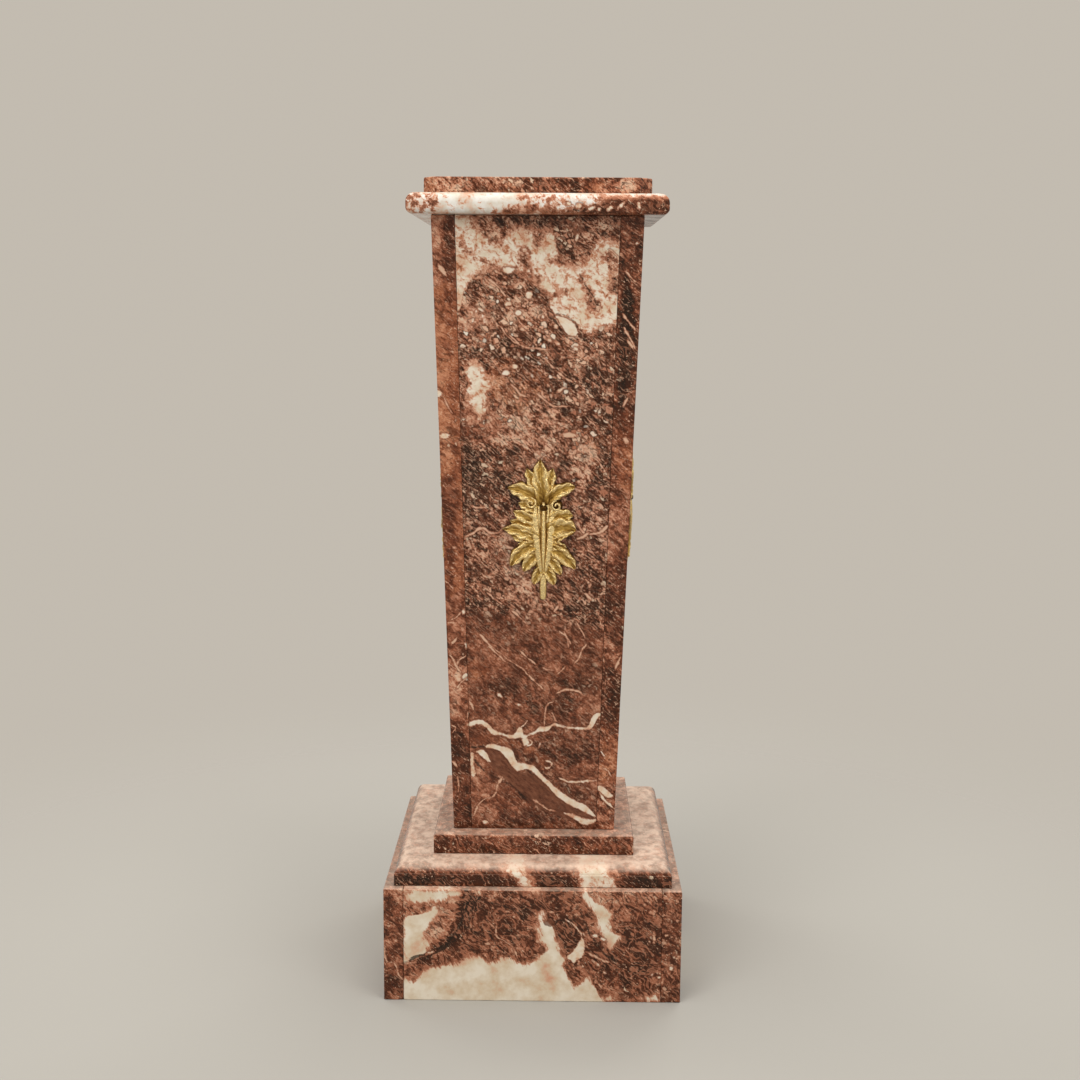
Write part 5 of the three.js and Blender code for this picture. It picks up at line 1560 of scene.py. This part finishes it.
# %% Lobes of the right side
right_lobes = [
    dict(root=[1, 44], tip=[10.8, 76.5], bend=-0.08, width=17, rise=6.0, flick=1.0, sharp=0.8, teeth=0.16),
    dict(root=[3, 34], tip=[38, 53.5], bend=0.22, width=20, rise=7.6, flick=1.5, sharp=0.5, teeth=0.10),
    dict(root=[4, 8], tip=[36, 18], bend=0.16, width=25, rise=6.0, sharp=0.7, teeth=0.14),
    dict(root=[2, -4], tip=[39.6, 0], bend=0.24, width=31, rise=7.6, flick=1.2, sharp=0.6, teeth=0.12),
    dict(root=[37, -2], tip=[10, -20], bend=-0.24, width=10, rise=8.6, sharp=0.5, teeth=0.06),
    dict(root=[3, -20], tip=[29, -24], bend=0.16, width=16, rise=5.4, sharp=0.8, teeth=0.14),
    dict(root=[1, -30], tip=[22, -56], bend=0.10, width=15, rise=5.6, flick=0.8, sharp=0.6, teeth=0.06),
    dict(root=[2, -18], tip=[39.5, -48], bend=0.12, width=21, rise=7.4, flick=1.5, sharp=0.6, teeth=0.12),
    dict(root=[0, -44], tip=[13.6, -68.5], bend=0.08, width=15, rise=5.4, sharp=0.5),
]
print("right lobes", len(right_lobes))

# %% Middle lobes, and the whole leaf
middle_lobes = [
    dict(root=[0, -52], tip=[0, 60], width=40, rise=3.4, sharp=0.5, narrow=0.4, teeth=0.1),
    dict(root=[0, 30], tip=[-4.6, 87.0], bend=0.05, width=26, rise=7.6, flick=1.0, sharp=0.8, teeth=0.14),
    dict(root=[0, -58], tip=[0, 48], width=20, rise=5.6, sharp=0.6),
    dict(root=[-2, -54], tip=[-10, 38], bend=0.06, width=11, rise=6.6, sharp=0.9, plain=True),
    dict(root=[2, -54], tip=[10, 34], bend=-0.06, width=11, rise=6.6, sharp=0.9, plain=True),
    dict(root=[0, 34], tip=[0, -56], width=6.4, rise=9.4, sharp=0.9, narrow=0.7, plain=True),
    dict(root=[0, -50], tip=[0, -87.3], width=8.6, rise=4.4, sharp=0.12, narrow=0.8, plain=True),
]
leaf_parts = [lobe_points(**lobe) for lobe in middle_lobes + left_lobes + right_lobes]
for x, y, hand in ((-15.5, 33, -1.0), (15.8, 30, 1.0)):
    leaf_parts.append(boss_points(x, y, 7.6, 4.2))
    leaf_parts.append(scroll_points(x, y, hand))
leaf_parts.append(boss_points(0, 27, 4.6, 9.2))
leaf_points = np.vstack([part.reshape(-1, 3) for part, _ in leaf_parts])
leaf_crest = np.concatenate([crest.ravel() for _, crest in leaf_parts])
leaf_faces, leaf_start = [], 0
for part, _ in leaf_parts:
    leaf_faces += ring_faces(*part.shape[:2], leaf_start)
    leaf_start += part.shape[0] * part.shape[1]
print("leaf points", len(leaf_points), "faces", len(leaf_faces))


# %% [markdown]
# ## Gilding
# Fire gilding is bright on the crests, which were burnished, and matt and browner in the hollows,
# where dirt and old wax stay, and the dark in the hollows and at the roots of the lobes is also
# painted shade. Each point of the leaf carries how high it stands in its own lobe, and the finish
# reads that number, so the dark keeps to the flutes from any side.

# %% The gilt finish
GILDING = [(0.30, (0.050, 0.021, 0.006)), (0.50, (0.225, 0.114, 0.024)), (0.70, (0.510, 0.312, 0.076)),
           (0.95, (0.860, 0.660, 0.320))]


def gilt_finish():
    """Gold that is bright on the crests and brown in the hollows, part dirt and part painted shade, with fine chasing
    marks.
    """
    recipe = Recipe("gilt_brass")
    crest = recipe.add("ShaderNodeAttribute", {"attribute_name": "crest"}).outputs["Fac"]
    tarnish = recipe.cloud(3.2, 91, detail=6, rough=0.7)
    # Low crests and tarnish give dark gold: dirt and painted shade in the hollows.
    worn = recipe.calc("MULTIPLY_ADD", tarnish, 0.5, recipe.calc("ADD", crest, -0.25))
    recipe.feed(recipe.shader.inputs["Base Color"], recipe.ramp(worn, GILDING))
    recipe.feed(recipe.shader.inputs["Roughness"], recipe.fade(worn, 0.35, 0.9, 0.48, 0.24))
    recipe.shader.inputs["Metallic"].default_value = 1.0
    dents = recipe.calc("MULTIPLY_ADD", recipe.cloud(4.0, 93, detail=3), 2.0, recipe.cloud(1.2, 92, detail=4))
    recipe.bump(dents, 0.0009, 0.8)
    return recipe.material


gilt = gilt_finish()
print("gilding has", len(gilt.node_tree.nodes), "nodes")


# %% [markdown]
# The three castings are one set of points, laid on the leaning faces. The front one sits a little
# to the right on its panel, and the side ones in the middle of theirs.

# %% Place the castings
lean = math.atan2(head_half - foot_half, shaft_head - shaft_foot)
mount_level, mount_shift = 580.0, 9.5


def seat_leaf(points, quarters, shift):
    """Lays the leaf on the leaning face: across it, up along it, and out from it, then turns it."""
    face = foot_half + (head_half - foot_half) * (mount_level - shaft_foot) / (shaft_head - shaft_foot)
    across, up, out = points[:, 0], points[:, 1], points[:, 2] + glue_line
    x = across + shift
    y = -face - up * math.sin(lean) - out * math.cos(lean)
    z = mount_level + up * math.cos(lean) - out * math.sin(lean)
    cosine, sine = QUARTERS[quarters]
    return np.column_stack([x * cosine - y * sine, x * sine + y * cosine, z]) * MM


for side_name, quarters, shift in (("front", 0, mount_shift), ("right", 1, 0.0), ("left", 3, 0.0)):
    leaf_mesh = bpy.data.meshes.new(side_name + "_leaf")
    leaf_mesh.from_pydata(seat_leaf(leaf_points, quarters, shift).tolist(), [], leaf_faces)
    leaf_mesh.attributes.new("crest", "FLOAT", "POINT").data.foreach_set("value", leaf_crest.astype(np.float32))
    leaf_mesh.shade_smooth()
    piece(side_name + "_leaf", leaf_mesh, gilt, side_name + "_mount", slot="gilt_brass")
print("castings lean by", round(math.degrees(lean), 2), "degrees, at", mount_level, "mm")


# %% [markdown]
# ## Floor and background
# The stand was photographed in a pale, warm grey room. The floor is lit and keeps the soft
# shadow round the base, and further out it fades away, so that it meets the background without
# a horizon. The background colour is shown only to the camera and to reflections.

# %% Floor and background
PALE_WALL = (0.545, 0.500, 0.435, 1.0)
DAYLIGHT = (1.0, 0.985, 0.96, 1.0)
FLOOR_GREY = ((0.352, 0.331, 0.292), (0.360, 0.339, 0.300))
FADE_START, FADE_END = 450.0, 1500.0
FLOOR_REACH = 3.0


def pale_floor():
    """Matt floor that fades out with its distance from the stand."""
    recipe = Recipe("pale_floor")
    recipe.feed(recipe.shader.inputs["Base Color"], recipe.mix(recipe.cloud(400, 95, detail=2), *FLOOR_GREY))
    recipe.shader.inputs["Roughness"].default_value = 0.9
    reach = recipe.vector("LENGTH", recipe.mm, out=1)
    clear = recipe.add("ShaderNodeBsdfTransparent").outputs[0]
    blend = recipe.add("ShaderNodeMixShader")
    recipe.feed(blend.inputs[0], recipe.fade(reach, FADE_START, FADE_END))
    recipe.feed(blend.inputs[1], recipe.shader.outputs[0])
    recipe.feed(blend.inputs[2], clear)
    recipe.feed(recipe.tree.nodes["Material Output"].inputs["Surface"], blend.outputs[0])
    return recipe.material


floor_mesh = bpy.data.meshes.new("floor")
floor_corners = [(x * FLOOR_REACH, y * FLOOR_REACH, 0.0) for x, y in ((-1, -1), (1, -1), (1, 1), (-1, 1))]
floor_mesh.from_pydata(floor_corners, [], [(0, 1, 2, 3)])
floor_mesh.materials.append(pale_floor())
floor = bpy.data.objects.new("floor", floor_mesh)
bpy.context.scene.collection.objects.link(floor)
floor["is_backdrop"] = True
print("floor", 2 * FLOOR_REACH, "m wide, gone beyond", FADE_END, "mm")


# %% [markdown]
# The world does two jobs: an even light from all round, and the wall that the camera sees. A Light
# Path node tells the two apart, so the wall can have its own colour without lighting the stone.

# %% World
world = bpy.data.worlds.new("studio")
bpy.context.scene.world = world
world.use_nodes = True
room = world.node_tree
ambient = room.nodes["Background"]
ambient.inputs["Color"].default_value = DAYLIGHT
ambient.inputs["Strength"].default_value = 0.55
wall = room.nodes.new("ShaderNodeBackground")
wall.inputs["Color"].default_value = PALE_WALL
wall.inputs["Strength"].default_value = 1.0
path = room.nodes.new("ShaderNodeLightPath")
seen = path.outputs["Is Camera Ray"]
for ray in ("Is Glossy Ray", "Is Transmission Ray"):
    either = room.nodes.new("ShaderNodeMath")
    either.operation = "MAXIMUM"
    room.links.new(seen, either.inputs[0])
    room.links.new(path.outputs[ray], either.inputs[1])
    seen = either.outputs[0]
choose = room.nodes.new("ShaderNodeMixShader")
room.links.new(seen, choose.inputs[0])
room.links.new(ambient.outputs[0], choose.inputs[1])
room.links.new(wall.outputs[0], choose.inputs[2])
room.links.new(choose.outputs[0], room.nodes["World Output"].inputs["Surface"])
print("world has", len(room.nodes), "nodes")


# %% [markdown]
# ## Light
# Large soft boxes light the stand from the front and above, with weaker ones behind, so that
# every side can be judged. Their power is set so that a colour comes out about as it is written.

# %% Soft boxes
def soft_box(name, place, aim, size, power, gleam=True):
    """A square area lamp at a place, turned to face a point. Without gleam it leaves no highlight."""
    lamp = bpy.data.lights.new(name, "AREA")
    lamp.size = size
    lamp.energy = power
    box = bpy.data.objects.new(name, lamp)
    box.visible_glossy = gleam
    away = np.array(place) - np.array(aim)
    away /= np.linalg.norm(away)
    level = np.cross([0.0, 0.0, 1.0], away)
    level /= np.linalg.norm(level)
    axes = np.column_stack([level, np.cross(away, level), away])
    box.matrix_world = Matrix.Translation(place) @ Matrix(axes.tolist()).to_4x4()
    bpy.context.scene.collection.objects.link(box)


soft_box("key_box", (-1.5, -2.3, 2.3), (0.0, 0.0, 0.5), 1.6, 34)
soft_box("fill_box", (1.9, -2.0, 1.5), (0.0, 0.0, 0.5), 1.4, 16)
soft_box("top_box", (0.0, -0.6, 4.6), (0.0, 0.0, 0.3), 3.2, 162, gleam=False)
soft_box("back_box", (1.2, 2.4, 1.9), (0.0, 0.0, 0.5), 1.5, 31, gleam=False)
soft_box("back_left_box", (-2.0, 1.6, 1.4), (0.0, 0.0, 0.5), 1.2, 16, gleam=False)
print("lamps:", {lamp.name: lamp.energy for lamp in bpy.data.lights})


# %% [markdown]
# ## Sizes
# The dressed stand must not be larger than the CAD stand, so both boxes are printed.

# %% Print the sizes and finish
visual_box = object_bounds()


def plain(box_corners):
    """The two corners of a box as lists of numbers."""
    return [[float(value) for value in corner] for corner in box_corners]


{"cad": plain(cad_box), "visual": plain(visual_box)}
print("CAD box", plain(cad_box), "visual box", plain(visual_box))
